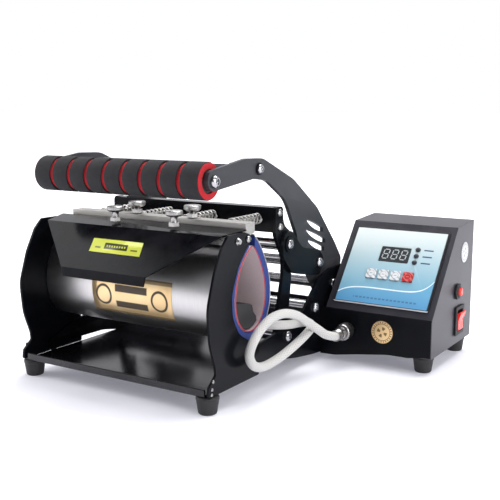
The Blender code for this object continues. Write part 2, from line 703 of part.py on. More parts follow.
def panel():
    """Printed panel on the sloping face, its window, the display behind it and four keys."""
    x0, x1, low, high = PANEL
    holes = [slope_box(*WINDOW)] + [circle(LED_X, rise, 2.9, 12) for rise in LED_RISE]
    holes += [slope_box(x - 6, x + 6, KEY_RISE - 6, KEY_RISE + 6) for x in KEY_X]
    slope_sheet("panel_plate", [slope_box(x0, x1, low, high, 2.0)] + holes, GAP, GAP + 1.2, PANEL_BLUE)
    w0, w1, w2, w3 = WINDOW
    slope_sheet("display_window", [slope_box(w0 + GAP, w1 - GAP, w2 + GAP, w3 - GAP)], -0.1, GAP + 1.6,
                SMOKED)
    board = block("controller_board", (0, 0, 0), (98, 84, 1.6), BOARD, turn=SLOPE_TURN,
                  at=on_slope((x0 + x1) / 2, (low + high) / 2, -13.0))
    digits = block("digit_block", (0, 0, 0), (w1 - w0 - 2, w3 - w2 - 2, 12.2), RUBBER, turn=SLOPE_TURN,
                   at=on_slope((w0 + w1) / 2, (w2 + w3) / 2, -6.6))
    join(board, digits, "UNION")
    for i, rise in enumerate(LED_RISE):
        lamp = turned("lamp_%d" % i, [(GAP + 2.0, 0), (GAP + 1.6, 1.6), (GAP + 0.6, 2.5), (-12.8, 2.5),
                                      (-12.8, 0)], LAMP,
                      on_slope(LED_X, rise, 0), SLOPE_TURN, 12)
        join(board, lamp, "UNION")
    for i, x in enumerate(KEY_X):
        pivot = empty("key_%d_guide" % (i + 1), on_slope(x, KEY_RISE, 0), ASSEMBLY)
        slope_sheet("key_%d" % (i + 1), [slope_box(x - 5.6, x + 5.6, KEY_RISE - 5.6, KEY_RISE + 5.6)],
                          -1.2, GAP + 2.6, KEY_RED if i == 3 else KEY_WHITE, carrier=pivot)


def side_controls():
    """Rocker switch and its bezel, and the reset button in its ring, on the right side."""
    x = BOX_RIGHT
    bezel = block("rocker_bezel", (x + GAP, SWITCH_Y - 13, SWITCH_Z - 16), (x + 2.3, SWITCH_Y + 13,
                  SWITCH_Z + 16), RUBBER)
    body = block("rocker_body", (x - 14, SWITCH_Y - 9.6, SWITCH_Z - 13.1), (x + 1, SWITCH_Y + 9.6,
                 SWITCH_Z + 13.1), RUBBER)
    join(bezel, body, "UNION")
    well = block("rocker_well", (x - 9, SWITCH_Y - 8.2, SWITCH_Z - 12.0), (x + 9, SWITCH_Y + 8.2,
                 SWITCH_Z + 12.0), RUBBER)
    join(bezel, well)
    pivot = empty("rocker_axis", (x + ROCKER_AXIS_X, SWITCH_Y, SWITCH_Z), ASSEMBLY)
    ring = rounded([(-5.0, -2.5, 1), (5.0, -2.5, 1), (10.6, 3.6, 1.2), (10.2, 5.4, 1.0), (0, 3.4, 20),
                    (-10.2, 5.4, 1.0),
                    (-10.6, 3.6, 1.2)], 3)
    tip = math.radians(ROCKER_REST)
    basis = Matrix(((0.0, 1.0, 0.0), (0.0, 0.0, 1.0), (1.0, 0.0, 0.0)))
    seat = (Matrix.Rotation(tip, 3, "Y") @ basis).to_euler()
    sheet("rocker", [ring], -7.9, 7.9, KEY_RED, turn=seat, at=(x + ROCKER_AXIS_X, SWITCH_Y, SWITCH_Z),
          carrier=pivot)
    turned("reset_bezel", [(3.6, 4.8), (3.6, 7.0), (3.0, 9.2), (GAP, 9.2), (GAP, 5.5), (-9, 5.5),
                           (-9, 4.8), (3.6, 4.8)], RUBBER,
           (x, RESET_Y, RESET_Z), ALONG_X, 20)
    guide = empty("reset_guide", (x, RESET_Y, RESET_Z), ASSEMBLY)
    turned("reset_button", [(5.9, 0), (5.9, 3.6), (5.2, 4.5), (-8, 4.5), (-8, 0)], KEY_RED,
           (x, RESET_Y, RESET_Z), ALONG_X, 18, guide)


# ---------------------------------------------------------------- heater lead

def heater_plug():
    """Round screw connector on the apron: socket and plug, coupling ring and cable clamp."""
    face = BOX_FRONT - APRON_T * 2 - GAP
    turned("lead_plug", [(30, 4.9), (30, 5.9), (22, 6.3), (20, 5.2), (17, 5.2), (17, 6.5), (-12, 6.5),
                         (-12, 0), (24, 0), (24, 4.9),
                         (30, 4.9)], STEEL, (SOCKET_X, face, SOCKET_Z), ALONG_MINUS_Y, 20)
    pivot = empty("coupling_axis", (SOCKET_X, face, SOCKET_Z), ASSEMBLY)
    turned("coupling_ring", [(14, 6.5 + GAP), (14, 8.2), (12.8, 9.0), (1.0, 9.0), (GAP, 8.4), (GAP,
           6.5 + GAP), (14, 6.5 + GAP)], STEEL,
           (SOCKET_X, face, SOCKET_Z), ALONG_MINUS_Y, 24, pivot)


def smooth_route(points, per_span):
    """Points of a smooth curve through the route's own points (Catmull-Rom)."""
    route = [Vector(p) for p in points]
    route = [route[0] * 2 - route[1]] + route + [route[-1] * 2 - route[-2]]
    made = []
    for a, b, c, d in zip(route, route[1:], route[2:], route[3:]):
        for k in range(per_span):
            t = k / per_span
            made.append(0.5 * ((2 * b) + (c - a) * t + (2 * a - 5 * b + 4 * c - d) * t * t
                               + (3 * b - a - 3 * c + d) * t ** 3))
    made.append(route[-2])
    return made


def heater_lead():
    """Braided glass sleeve with the heater's wires, from the plug into the press."""
    curve = bpy.data.curves.new("lead_sleeve", "CURVE")
    curve.dimensions = "3D"
    curve.bevel_depth = SLEEVE_R * MM
    curve.bevel_resolution = 2
    curve.use_fill_caps = True
    curve.materials.append(SLEEVE)
    points = smooth_route(SLEEVE_ROUTE, 2)
    spline = curve.splines.new("POLY")
    spline.points.add(len(points) - 1)
    for point, place_at in zip(spline.points, points):
        point.co = (*(place_at * MM), 1.0)
    obj = bpy.data.objects.new("lead_sleeve", curve)
    PARTS.objects.link(obj)
    place(obj, (0, 0, 0), (0, 0, 0), ASSEMBLY)


# ---------------------------------------------------------------- feet

FEET = {
    "front_left": (-FRONT_FOOT[0], FRONT_FOOT[1]), "front_right": FRONT_FOOT,
    "box_front": (BOX_RIGHT - 13, BOX_FRONT + 13), "box_back": (BOX_RIGHT - 13, BOX_BACK - 13),
    "rear_left": (-98.0, 304.0),
}


def feet():
    for word, (x, y) in FEET.items():
        turned("foot_" + word, [(FOOT_HEIGHT, 0), (FOOT_HEIGHT, FOOT_R), (13.5, FOOT_R), (1.2, 8.9),
                                (0, 7.9), (0, 0)], RUBBER,
               (x, y, 0), (0, 0, 0), 24)


# ---------------------------------------------------------------- assembly

clear_scene()
PARTS = new_collection("mug_heat_press")
CUTTERS = new_collection("cutters")

BLACK = finish("Black powder coat", (0.012, 0.012, 0.014), 0.28)
ARM_GREY = finish("Dark grey satin coat", (0.035, 0.036, 0.040), 0.42)
STEEL = finish("Plated steel", (0.62, 0.61, 0.60), 0.30, 1.0)
CHROME = finish("Chrome", (0.75, 0.75, 0.76), 0.12, 1.0)
BRUSHED = finish("Brushed steel sheet", (0.58, 0.57, 0.57), 0.36, 1.0)
SILVER = finish("Zinc plate", (0.66, 0.66, 0.67), 0.34, 1.0)
KNURL = finish("Nickel plate", (0.55, 0.53, 0.50), 0.28, 1.0)
RED = finish("Red silicone", (0.42, 0.05, 0.045), 0.55)
BLUE = finish("Blue silicone", (0.05, 0.13, 0.34), 0.55)
RUBBER = finish("Black rubber", (0.018, 0.018, 0.018), 0.60)
FOAM = finish("Black foam", (0.022, 0.022, 0.024), 0.85)
SLEEVE = finish("Glass sleeve", (0.78, 0.76, 0.71), 0.80)
PANEL_BLUE = finish("Printed panel", (0.16, 0.34, 0.66), 0.35)
SMOKED = finish("Smoked window", (0.05, 0.012, 0.014), 0.12)
BOARD = finish("Circuit board", (0.03, 0.16, 0.07), 0.45)
LAMP = finish("Lamp lens", (0.70, 0.08, 0.06), 0.25)
KEY_WHITE = finish("White key", (0.78, 0.78, 0.76), 0.40)
KEY_RED = finish("Red key", (0.62, 0.03, 0.03), 0.35)

ASSEMBLY = empty("assembly", (-ORIGIN_X, -ORIGIN_Y, 0.0))
LEVER = empty("lever_pivot", (0.0, *LEVER_PIVOT), ASSEMBLY)
LINK = empty("link_pivot", (0.0, *LINK_PIVOT), LEVER)
PUSH = empty("push_frame_pivot", (0.0, *FRAME_PIVOT), ASSEMBLY)
CLAMP = empty("clamp_slide", (0.0, *SPRING_AXIS), PUSH)

base_pan()
mirrored(side_frame)
mirrored(end_plate)
front_clamp_rail()
heat_guard()
heater()
rim_stop()
mirrored(lever_arm)
lever_rods()
foam_grip()
mirrored(link)
mirrored(upright)
push_channel()
frame_shafts()
clamp_bar()
clamp_rod()
for number, spring_x in enumerate(SPRING_X, 1):
    coil_spring(number, spring_x)
thumbscrews()
box_shell()
box_cover()
power_inlet()
apron()
panel()
side_controls()
heater_plug()
heater_lead()
feet()
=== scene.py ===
import math

import bmesh
import bpy
import numpy as np
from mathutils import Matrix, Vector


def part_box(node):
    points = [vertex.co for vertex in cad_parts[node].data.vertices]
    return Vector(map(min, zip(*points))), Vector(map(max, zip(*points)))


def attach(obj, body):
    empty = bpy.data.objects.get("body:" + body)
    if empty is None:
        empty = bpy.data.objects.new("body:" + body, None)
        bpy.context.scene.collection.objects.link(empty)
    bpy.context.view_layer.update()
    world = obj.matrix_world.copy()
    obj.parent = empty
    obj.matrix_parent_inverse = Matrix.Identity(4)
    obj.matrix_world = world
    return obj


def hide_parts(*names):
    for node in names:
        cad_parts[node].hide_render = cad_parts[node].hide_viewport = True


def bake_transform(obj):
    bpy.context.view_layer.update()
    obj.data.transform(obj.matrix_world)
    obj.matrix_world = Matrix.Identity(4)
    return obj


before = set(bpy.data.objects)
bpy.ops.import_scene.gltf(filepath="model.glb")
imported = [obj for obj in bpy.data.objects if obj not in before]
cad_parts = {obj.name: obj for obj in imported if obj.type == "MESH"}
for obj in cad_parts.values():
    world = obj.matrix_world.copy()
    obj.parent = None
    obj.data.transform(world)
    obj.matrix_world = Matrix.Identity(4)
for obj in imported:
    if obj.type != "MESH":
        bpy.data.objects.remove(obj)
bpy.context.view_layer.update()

# ---------------------------------------------------------------- camera
# The press is seen from its right front, a little above the table. Every place in this file is in
# the press's own millimetres: x from the middle of the heater, y to the back, z up from the table.

plate_left, plate_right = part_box("end_plate_left"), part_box("end_plate_right")
front_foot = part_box("foot_front_right")
FRONT_TO_FOOT = 0.0045
MIDDLE = np.array([(plate_left[0][0] + plate_right[1][0]) / 2,
                   (front_foot[0][1] + front_foot[1][1]) / 2 + FRONT_TO_FOOT, 0.0])


def at(points):
    """Millimetres of the press to metres of the frame."""
    return np.asarray(points, float) / 1000 + MIDDLE


camera = bpy.data.objects.new("camera", bpy.data.cameras.new("camera"))
bpy.context.scene.collection.objects.link(camera)
camera.data.lens = 61.92
camera.data.sensor_width = 36
camera.location = at((542.8, -617.8, 276.0))
camera.rotation_euler = (math.radians(90 - 9.48), 0, math.radians(32.26))
bpy.context.scene.camera = camera

# ---------------------------------------------------------------- heater lead
# A limp sleeve of braided white glass yarn over the heater's wires. It leaves the round plug on the
# apron, loops forward past the end plate and turns in under the heater.

SLEEVE_R = 4.5
SLEEVE_ROUTE = [
    (149.0, 179.5, 37.0), (149.0, 172.0, 37.3), (146.0, 158.0, 42.0), (142.5, 145.5, 50.5),
    (138.0, 131.0, 60.4), (134.5, 115.0, 70.0), (131.5, 95.5, 75.2), (130.0, 74.0, 74.4),
    (129.0, 56.0, 67.0), (129.0, 42.5, 57.0), (129.5, 36.0, 46.5), (130.5, 42.0, 36.0),
    (132.0, 57.0, 31.4), (134.0, 82.0, 33.6), (135.0, 110.0, 39.2), (134.5, 137.0, 45.5),
    (131.5, 154.0, 49.5), (126.5, 155.5, 53.0), (125.0, 140.0, 55.6), (124.5, 119.0, 58.2),
    (121.0, 105.0, 60.2), (112.0, 98.0, 60.8), (105.0, 96.0, 60.6),
]


def smooth_route(points, per_span):
    """Catmull-Rom: between points b and c the curve is half of 2b + (c-a)t + (2a-5b+4c-d)t2 + (3b-a-3c+d)t3."""
    p = np.asarray(points, float)
    p = np.vstack([2 * p[0] - p[1], p, 2 * p[-1] - p[-2]])
    a, b, c, d = (p[i:len(p) - 3 + i, None, :] for i in range(4))
    t = (np.arange(per_span) / per_span)[None, :, None]
    curve = 2 * b + (c - a) * t + (2 * a - 5 * b + 4 * c - d) * t ** 2 + (3 * b - a - 3 * c + d) * t ** 3
    return np.vstack([0.5 * curve.reshape(-1, 3), p[-2]])


def skin(name, grid, around=True, ends=True, angle=38, wall=0.0):
    """A mesh over grid[row, column] in millimetres: rows run along the piece and columns across it.

    Each cell is one quad. A piece that closes around itself gets flat ends; a piece with a wall is
    an open sheet that Solidify thickens. The UV map runs 0 to 1 across and along.
    """
    rows, cols = grid.shape[:2]
    index = np.arange(rows * cols).reshape(rows, cols)
    spans = cols if around else cols - 1
    column = np.arange(spans)
    following = (column + 1) % cols
    low, high = index[:-1], index[1:]
    quads = np.stack([low[:, column], low[:, following], high[:, following], high[:, column]], -1)
    faces = quads.reshape(-1, 4).tolist()
    if around and ends:
        faces += [index[0][::-1].tolist(), index[-1].tolist()]
    mesh = bpy.data.meshes.new(name)
    mesh.from_pydata(at(grid.reshape(-1, 3)).tolist(), [], faces)
    u = np.stack([column, column + 1, column + 1, column], -1) / spans
    v = np.arange(rows - 1)[:, None] + np.array([0, 0, 1, 1])[None, :]
    uv = np.zeros((rows - 1, spans, 4, 2))
    uv[..., 0] = u[None]
    uv[..., 1] = v[:, None] / (rows - 1)
    flat = np.zeros((len(mesh.loops), 2))
    flat[:uv.size // 2] = uv.reshape(-1, 2)
    mesh.uv_layers.new(name="UVMap").data.foreach_set("uv", flat.ravel())
    bm = bmesh.new()
    bm.from_mesh(mesh)
    if around:
        bmesh.ops.remove_doubles(bm, verts=bm.verts, dist=1e-7)
        bmesh.ops.dissolve_degenerate(bm, edges=bm.edges, dist=1e-7)
        bmesh.ops.recalc_face_normals(bm, faces=bm.faces)
    bm.to_mesh(mesh)
    bm.free()
    mesh.shade_smooth()
    mesh.set_sharp_from_angle(angle=math.radians(angle))
    obj = bpy.data.objects.new(name, mesh)
    bpy.context.scene.collection.objects.link(obj)
    if wall:
        sheet = obj.modifiers.new("wall", "SOLIDIFY")
        sheet.thickness = wall / 1000
        sheet.offset = 1
    return obj


def tube(name, path, radius, cols=16, squeeze=None):
    """A circle carried along a path. Each ring stands square to the path, and its side vector is the
    last ring's, less its part along the path, so the tube doesn't twist."""
    step = np.gradient(path, axis=0)
    step /= np.linalg.norm(step, axis=1)[:, None]
    side = np.zeros_like(step)
    side[0] = np.cross(step[0], (0.3, 0.1, 1.0))
    for i in range(1, len(step)):
        side[i] = side[i - 1] - step[i] * side[i - 1].dot(step[i])
        side[i] /= np.linalg.norm(side[i])
    side[0] /= np.linalg.norm(side[0])
    up = np.cross(step, side)
    turn = 2 * np.pi * np.arange(cols) / cols
    r = np.full((len(path), cols), float(radius)) if squeeze is None else radius * squeeze
    grid = path[:, None] + r[..., None] * (np.cos(turn)[None, :, None] * side[:, None]
                                           + np.sin(turn)[None, :, None] * up[:, None])
    return skin(name, grid)


class Wire:
    """A shader socket in Python sums: + - * / and operations by name make Math nodes."""

    def __init__(self, tree, socket=None):
        self.tree, self.socket = tree, socket

    def node(self, kind, settings=None, links=None, out=0):
        """Make one node: its settings first, then the values or wires of its sockets."""
        made = self.tree.nodes.new(kind)
        for key, value in (settings or {}).items():
            if key == "stops":
                ramp = made.color_ramp.elements
                while len(ramp) < len(value):
                    ramp.new(0.5)
                for element, (position, colour) in zip(ramp, value):
                    element.position = position
                    element.color = (*colour, 1)
            else:
                setattr(made, key, value)
        for key, value in (links or {}).items():
            if isinstance(value, Wire):
                self.tree.links.new(value.socket, made.inputs[key])
            else:
                made.inputs[key].default_value = value
        return Wire(self.tree, made.outputs[out])

    def math(self, operation, *others):
        """A Math node with this wire in its first socket."""
        return self.node("ShaderNodeMath", {"operation": operation}, dict(enumerate((self, *others))))

    def __add__(self, other):
        return self.math("ADD", other)

    __radd__ = __add__

    def __sub__(self, other):
        return self.math("SUBTRACT", other)

    def __rsub__(self, other):
        return self * -1.0 + other

    def __mul__(self, other):
        return self.math("MULTIPLY", other)

    __rmul__ = __mul__

    def __truediv__(self, other):
        return self.math("DIVIDE", other)

    def clip(self):
        """The value, held between 0 and 1."""
        return self.math("MINIMUM", 1).math("MAXIMUM", 0)

    def step(self, edge, soft):
        """0 below the edge and 1 above it, over a soft width."""
        return ((self - (edge - soft / 2)) / soft).clip()

    def band(self, low, high, soft):
        """1 between low and high, and 0 outside."""
        return self.step(low, soft) * (1 - self.step(high, soft))

    def mix(self, first, second):
        """A colour between two, with this wire as the factor."""
        return self.node("ShaderNodeMix", {"data_type": "RGBA"}, {0: self, 6: first, 7: second}, out=2)

    def noise(self, scale, detail=3.0, stretch=(1, 1, 1), roughness=0.5):
        """Noise over the piece's own coordinates."""
        coords = self.node("ShaderNodeTexCoord", out="Object")
        scaled = self.node("ShaderNodeMapping", links={0: coords, 3: stretch})
        return self.node("ShaderNodeTexNoise", links={"Vector": scaled, "Scale": scale, "Detail": detail,
                                                      "Roughness": roughness})

    def place(self):
        """x, y and z of a point of the press, in its own millimetres."""
        coords = self.node("ShaderNodeTexCoord", out="Object")
        made = self.node("ShaderNodeSeparateXYZ", links={0: coords}).socket.node
        return [(Wire(self.tree, made.outputs[i]) - float(MIDDLE[i])) * 1000.0 for i in range(3)]

    def uv(self):
        """The two coordinates of the piece's UV map."""
        coords = self.node("ShaderNodeTexCoord", out="UV")
        made = self.node("ShaderNodeSeparateXYZ", links={0: coords}).socket.node
        return Wire(self.tree, made.outputs[0]), Wire(self.tree, made.outputs[1])

    def bump(self, height, distance, strength=0.5):
        """A bump normal from a height between 0 and 1, with its distance in metres."""
        return self.node("ShaderNodeBump", links={"Height": height, "Distance": distance, "Strength": strength})


def finish(name, paint, **plain):
    """A Principled material: plain values go on its sockets, and paint(wire) returns the wired ones."""
    material = bpy.data.materials.new(name)
    material.use_nodes = True
    shader = material.node_tree.nodes["Principled BSDF"]
    for key, value in plain.items():
        shader.inputs[key.replace("_", " ")].default_value = value
    wires = paint(Wire(material.node_tree))
    for key, value in wires.items():
        material.node_tree.links.new(value.socket, shader.inputs[key])
    return material


def colour(r, g, b):
    return (r, g, b, 1.0)


def braid_paint(wire):
    """Two sets of strands wound left and right: a chequer of ridges that cross over and under."""
    around, along = wire.uv()
    turn = 2 * math.pi
    first = ((around * STRANDS + along * SLEEVE_TURNS) * turn).math("SINE")
    second = ((around * STRANDS - along * SLEEVE_TURNS) * turn).math("SINE")
    weave = first.math("MAXIMUM", second) * 0.5 + 0.5
    fluff = wire.noise(900)
    # The colour darkens in the dips between the crossing strands: that darkening is painted shade. The fluff
    # noise is the yarn's own uneven tone.
    shade = (weave * 0.75 + fluff * 0.35).mix(colour(0.36, 0.35, 0.33), colour(0.74, 0.73, 0.70))
    return {"Base Color": shade, "Roughness": 0.75 + fluff * 0.2,
            "Normal": wire.bump(weave + fluff * 0.4, 0.0008, 0.8)}


sleeve_path = smooth_route(SLEEVE_ROUTE, 10)
sleeve_length = float(np.linalg.norm(np.diff(sleeve_path, axis=0), axis=1).sum()) / 1000
STRANDS = 12
STRAND_PITCH = 4.2
SLEEVE_TURNS = round(sleeve_length * 1000 / STRAND_PITCH)
braid = finish("glass_braid", braid_paint, Sheen_Weight=0.3)
sleeve = tube("heater_lead", sleeve_path, SLEEVE_R, 28)
sleeve.data.materials.append(braid)
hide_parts("lead_sleeve")
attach(sleeve, "base")

# ---------------------------------------------------------------- table and light
# A white table top that runs back into a white room, with broad soft lamps above and at both
# sides. The room is dark overhead and in front, so gloss paint stays black.

bpy.context.scene.view_settings.view_transform = "Standard"
FLOOR_HALF = 30000
FLOOR_DROP = 0.05
floor_x, floor_y = np.meshgrid(*[np.linspace(-FLOOR_HALF, FLOOR_HALF, 15)] * 2)
floor = skin("studio_floor", np.stack([floor_x, floor_y, 0 * floor_x - FLOOR_DROP], -1), around=False)


def paper_paint(wire):
    """Bright paper that glows a little more with distance, so the table fades into the room."""
    x, y, z = wire.place()
    far = ((x - 60) * (x - 60) + (y - 150) * (y - 150)).math("SQRT")
    glow = ((far - 250) / 1500).clip()
    return {"Base Color": wire.noise(3).mix(colour(0.84, 0.84, 0.88), colour(0.86, 0.86, 0.90)),
            "Emission Color": glow.mix(colour(0.20, 0.20, 0.23), colour(1.0, 1.0, 1.02))}


floor.data.materials.append(finish("white_paper", paper_paint, Roughness=0.9, Specular_IOR_Level=0.05,
                                   Emission_Strength=1.0))

world = bpy.data.worlds.new("studio")
bpy.context.scene.world = world
world.use_nodes = True
sky = Wire(world.node_tree)
direction = sky.node("ShaderNodeTexCoord", out="Generated")
behind, height = (
    sky.node("ShaderNodeVectorMath", {"operation": "DOT_PRODUCT"}, {0: direction, 1: toward}, out=1)
    for toward in ((-0.53, 0.84, 0.0), (0.0, 0.0, 1.0)))
glow = behind.step(0.1, 0.9) * (1 - height.step(0.42, 0.5) * 0.8)
glow = glow + (1 - glow) * height.band(-0.05, 0.05, 0.02)
shade = glow.mix(colour(0.17, 0.17, 0.19), colour(1.0, 1.0, 1.04))
world.node_tree.links.new(shade.socket, world.node_tree.nodes["Background"].inputs["Color"])


def lamp(name, place, target, size, watts):
    """A soft rectangular lamp, its size in metres, turned to face the target."""
    light = bpy.data.lights.new(name, "AREA")
    light.shape = "RECTANGLE"
    light.size, light.size_y = size
    light.energy = watts
    obj = bpy.data.objects.new(name, light)
    bpy.context.scene.collection.objects.link(obj)
    place, target = at(place), at(target)
    obj.location = place
    gaze = target - place
    obj.rotation_euler = (math.atan2(math.hypot(gaze[0], gaze[1]), -gaze[2]), 0, math.atan2(-gaze[0], gaze[1]))


lamp("top_light", (60, 620, 1450), (60, 120, 0), (1.6, 1.0), 34)
lamp("left_light", (-1200, -500, 900), (0, 60, 100), (0.9, 1.2), 13)
lamp("right_light", (1500, -150, 700), (120, 150, 80), (0.9, 1.0), 12)

# ---------------------------------------------------------------- painted sheet metal
# Folded and laser-cut mild steel, powder coated gloss black: floor pan, side frames, end plates,
# guard, uprights, channel, links, apron and box. Cut edges are rounded by the paint.


def coat_paint(base, edge, rough):
    """Powder coat with a fine orange peel; the paint is thinner and paler on worn edges."""
    def paint(wire):
        peel = wire.noise(1400, 2)
        film = wire.noise(45, 4)
        bevel = wire.node("ShaderNodeNewGeometry", out="Pointiness")
        worn = bevel.step(0.56, 0.08) * film.step(0.5, 0.3)
        return {"Base Color": worn.mix(colour(*base), colour(*edge)), "Roughness": rough + film * 0.10,
                "Normal": wire.bump(peel, 0.00004, 0.35)}
    return paint


gloss_black, tray_black, satin_grey, box_black = (
    finish(name, coat_paint(base, edge, rough), Specular_IOR_Level=level)
    for name, base, edge, rough, level in (
        ("gloss_black_powder_coat", (0.003, 0.0035, 0.005), (0.014, 0.014, 0.017), 0.14, 0.08),
        ("gloss_black_tray_coat", (0.006, 0.006, 0.008), (0.03, 0.03, 0.034), 0.10, 0.5),
        ("satin_charcoal_powder_coat", (0.022, 0.024, 0.029), (0.05, 0.05, 0.06), 0.38, 0.4),
        ("semi_gloss_box_coat", (0.026, 0.025, 0.033), (0.06, 0.06, 0.07), 0.30, 0.34)))


def fit(piece, material, body, node=None):
    """Give a new piece its finish, the body that it rides on and, where it stands for one, its CAD node."""
    piece.data.materials.append(material)
    if node:
        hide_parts(node)
    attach(piece, body)
    return piece


def dress(material, *nodes, bevel=0.0):
    """Give CAD nodes a finish and, for sheet metal, a small rounded edge."""
    for node in nodes:
        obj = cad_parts[node]
        for slot in obj.material_slots:
            slot.material = material
        if bevel:
            weld = obj.modifiers.new("weld", "WELD")
            weld.merge_threshold = 0.00001
            edge = obj.modifiers.new("edge", "BEVEL")
            edge.width = bevel / 1000
            edge.segments = 2
            edge.limit_method = "ANGLE"
            edge.angle_limit = math.radians(50)


dress(tray_black, "base_pan", bevel=0.4)
dress(gloss_black, "side_frame_left", "side_frame_right", "end_plate_left", "end_plate_right", "heat_guard",
      "upright_left", "upright_right", "link_left", "link_right", "push_channel", "front_apron", bevel=0.4)
dress(box_black, "control_box_shell", "box_rear_cover", bevel=0.8)
dress(satin_grey, "lever_arm_left", "lever_arm_right", bevel=0.5)

# ---------------------------------------------------------------- heater
# Three layers bent to a teardrop: a red silicone heating mat with a grey-pink face, a blue silicone
# foam blanket, and a springy band of brushed stainless steel. Each layer is built as a front, a rear
# wall and a crown.

# Half depth, half height, and the middle's y and z, of the mat's face and of the band's outside.
DROP_INNER = np.array([29.8, 40.5, 62.0, 104.0])
DROP_OUTER = np.array([45.2, 53.0, 60.0, 106.0])
WALL = 14


def drop(share, angle):
    """Teardrop section. Height is the centre plus tall * cos(angle); depth is the centre less
    wide * sin(angle) * sqrt(sin(angle / 2)), with the top leaning 3 mm back."""
    size = DROP_INNER + (DROP_OUTER - DROP_INNER) * np.asarray(share)[..., None]
    wide, tall, y, z = np.moveaxis(size, -1, 0)
    lean = 3.0 * np.maximum(0.0, np.cos(angle)) ** 4
    side = np.sin(angle) * np.sqrt(np.abs(np.sin(angle / 2)))
    return y + lean - wide * side, z + tall * np.cos(angle)


def layer(name, inner, outer, start, end, half, steps, round_by):
    """One layer of the heater: a rounded rectangle across the wall, carried round the teardrop.

    Inner and outer are shares of the wall, and start and end are degrees from the top, forwards.
    """
    corner = np.radians(np.arange(0, 91, 30))
    thick = (outer - inner) * WALL
    r = min(round_by, thick / 2.01)
    xs, ts = [], []
    for sx, st, first in ((1, 1, 0), (-1, 1, 90), (-1, -1, 180), (1, -1, 270)):
        turn = corner + math.radians(first)
        xs.append(sx * (half - r) + r * np.cos(turn))
        ts.append(st * (thick / 2 - r) + r * np.sin(turn))
    x, t = np.concatenate(xs), np.concatenate(ts)
    share = (inner + outer) / 2 + t / WALL
    angle = np.radians(np.linspace(start, end, steps))
    y, z = drop(share[None, :] + 0 * angle[:, None], angle[:, None] + 0 * share[None, :])
    return skin(name, np.stack([np.broadcast_to(x[None], y.shape), y, z], -1), angle=50)


def band_paint(wire):
    """Fine scratches run round the band, over broad soft stains and a slight heat tint."""
    grain = wire.noise(60, 5, (40, 1, 1))
    stain = wire.noise(14, 3)
    shade = (grain * 0.5 + stain * 0.5).mix(colour(0.40, 0.385, 0.38), colour(0.74, 0.73, 0.725))
    return {"Base Color": shade, "Roughness": 0.20 + grain * 0.16 + stain * 0.08,
            "Normal": wire.bump(grain, 0.00005, 0.3)}


def silicone_paint(dark, light):
    """Matt silicone or rubber with a cloth-fine grain."""
    def paint(wire):
        cloth = wire.noise(700, 2)
        return {"Base Color": cloth.mix(colour(*dark), colour(*light)), "Roughness": 0.5 + cloth * 0.2,
                "Normal": wire.bump(cloth, 0.0001, 0.4)}
    return paint


def mat_paint(wire):
    """Red edges; the face that holds the mug is glass cloth under thin grey-pink silicone."""
    x, y, z = wire.place()
    across = ((y - 59) * (y - 59) / 1000 + (z - 104) * (z - 104) / 1860)
    end = x.math("ABSOLUTE").step(114.4, 0.4)
    face = across.math("LESS_THAN", 1.3)
    weave = wire.noise(500, 2)
    inner = weave.mix(colour(0.46, 0.38, 0.39), colour(0.56, 0.47, 0.48))
    return {"Base Color": (end + (1 - face)).clip().mix(inner, colour(0.50, 0.05, 0.07)),
            "Roughness": 0.5 + weave * 0.2, "Normal": wire.bump(weave, 0.00008, 0.4)}


band_steel = finish("brushed_stainless_band", band_paint, Metallic=1.0)
mat_silicone = finish("red_silicone_mat", mat_paint)
blanket_silicone = finish("blue_silicone_blanket", silicone_paint((0.007, 0.024, 0.15), (0.014, 0.042, 0.23)))

LAYERS = (
    ("heating_mat", 0.0, 0.11, 9, 351, 115.0, 0.7, mat_silicone, "red_silicone"),
    ("heat_blanket", 0.13, 0.87, 22, 340, 115.0, 2.0, blanket_silicone, "blue_silicone"),
    ("steel_band", 0.91, 1.0, 36, 341, 114.6, 0.4, band_steel, "brushed_steel"),
)
for node, inner, outer, start, end, half, round_by, material, slot in LAYERS:
    front = layer(node + "_front", inner, outer, start, 180, half, 70, round_by)
    rear = layer(node + "_rear", inner, outer, 180, 270, half, 50, round_by)
    crown = layer(node + "_crown", inner, outer, 270, end, half, 50, round_by)
    for piece in (front, rear, crown):
        piece.data.materials.append(material)
    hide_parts(node)
    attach(front, "base")
    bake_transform(rear)
    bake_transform(crown)

# A black rubber block low in the right mouth of the heater. It stands where the mouth's inner face lies in
# shade, so this dark block is painted shade.
rubber = finish("black_rubber", silicone_paint((0.010, 0.010, 0.011), (0.022, 0.022, 0.023)))
dress(rubber, "rim_stop", bevel=1.2)

# ---------------------------------------------------------------- rods, shafts and their bolts
# Bright drawn rods between the sides. Each is drilled at both ends for a button-head screw with a
# hexagon socket.


def soften(profile, radius):
    """Round each inner corner of a profile with three points of a parabola, no wider than half its sides."""
    p = np.asarray(profile, float)
    made = [p[0]]
    for before, here, after in zip(p, p[1:], p[2:]):
        back, on = before - here, after - here
        lb, lo = np.linalg.norm(back), np.linalg.norm(on)
        r = min(radius, lb * 0.45, lo * 0.45)
        a, b = here + back / lb * r, here + on / lo * r
        made += [a, (a + 2 * here + b) / 4, b]
    return np.array(made + [p[-1]])


def turned(name, profile, centre, axis, steps=56, ripple=None, soft=0.35, angle=38):
    """A profile of (height, radius) turned round an axis, whose square directions are u and v:
    centre + height * axis + radius * (cos t * u + sin t * v)."""
    h, r = soften(profile, soft).T
    axis = np.asarray(axis, float) / np.linalg.norm(axis)
    u = np.cross(axis, (0.0, 0.0, 1.0) if abs(axis[2]) < 0.9 else (0.0, 1.0, 0.0))
    u /= np.linalg.norm(u)
    v = np.cross(axis, u)
    t = 2 * np.pi * np.arange(steps) / steps
    radius = r[:, None] + (0 if ripple is None else ripple(h[:, None], r[:, None], t[None]))
    grid = (np.asarray(centre, float) + h[:, None, None] * axis
            + radius[..., None] * (np.cos(t)[None, :, None] * u + np.sin(t)[None, :, None] * v))
    return skin(name, grid, ends=False, angle=angle)


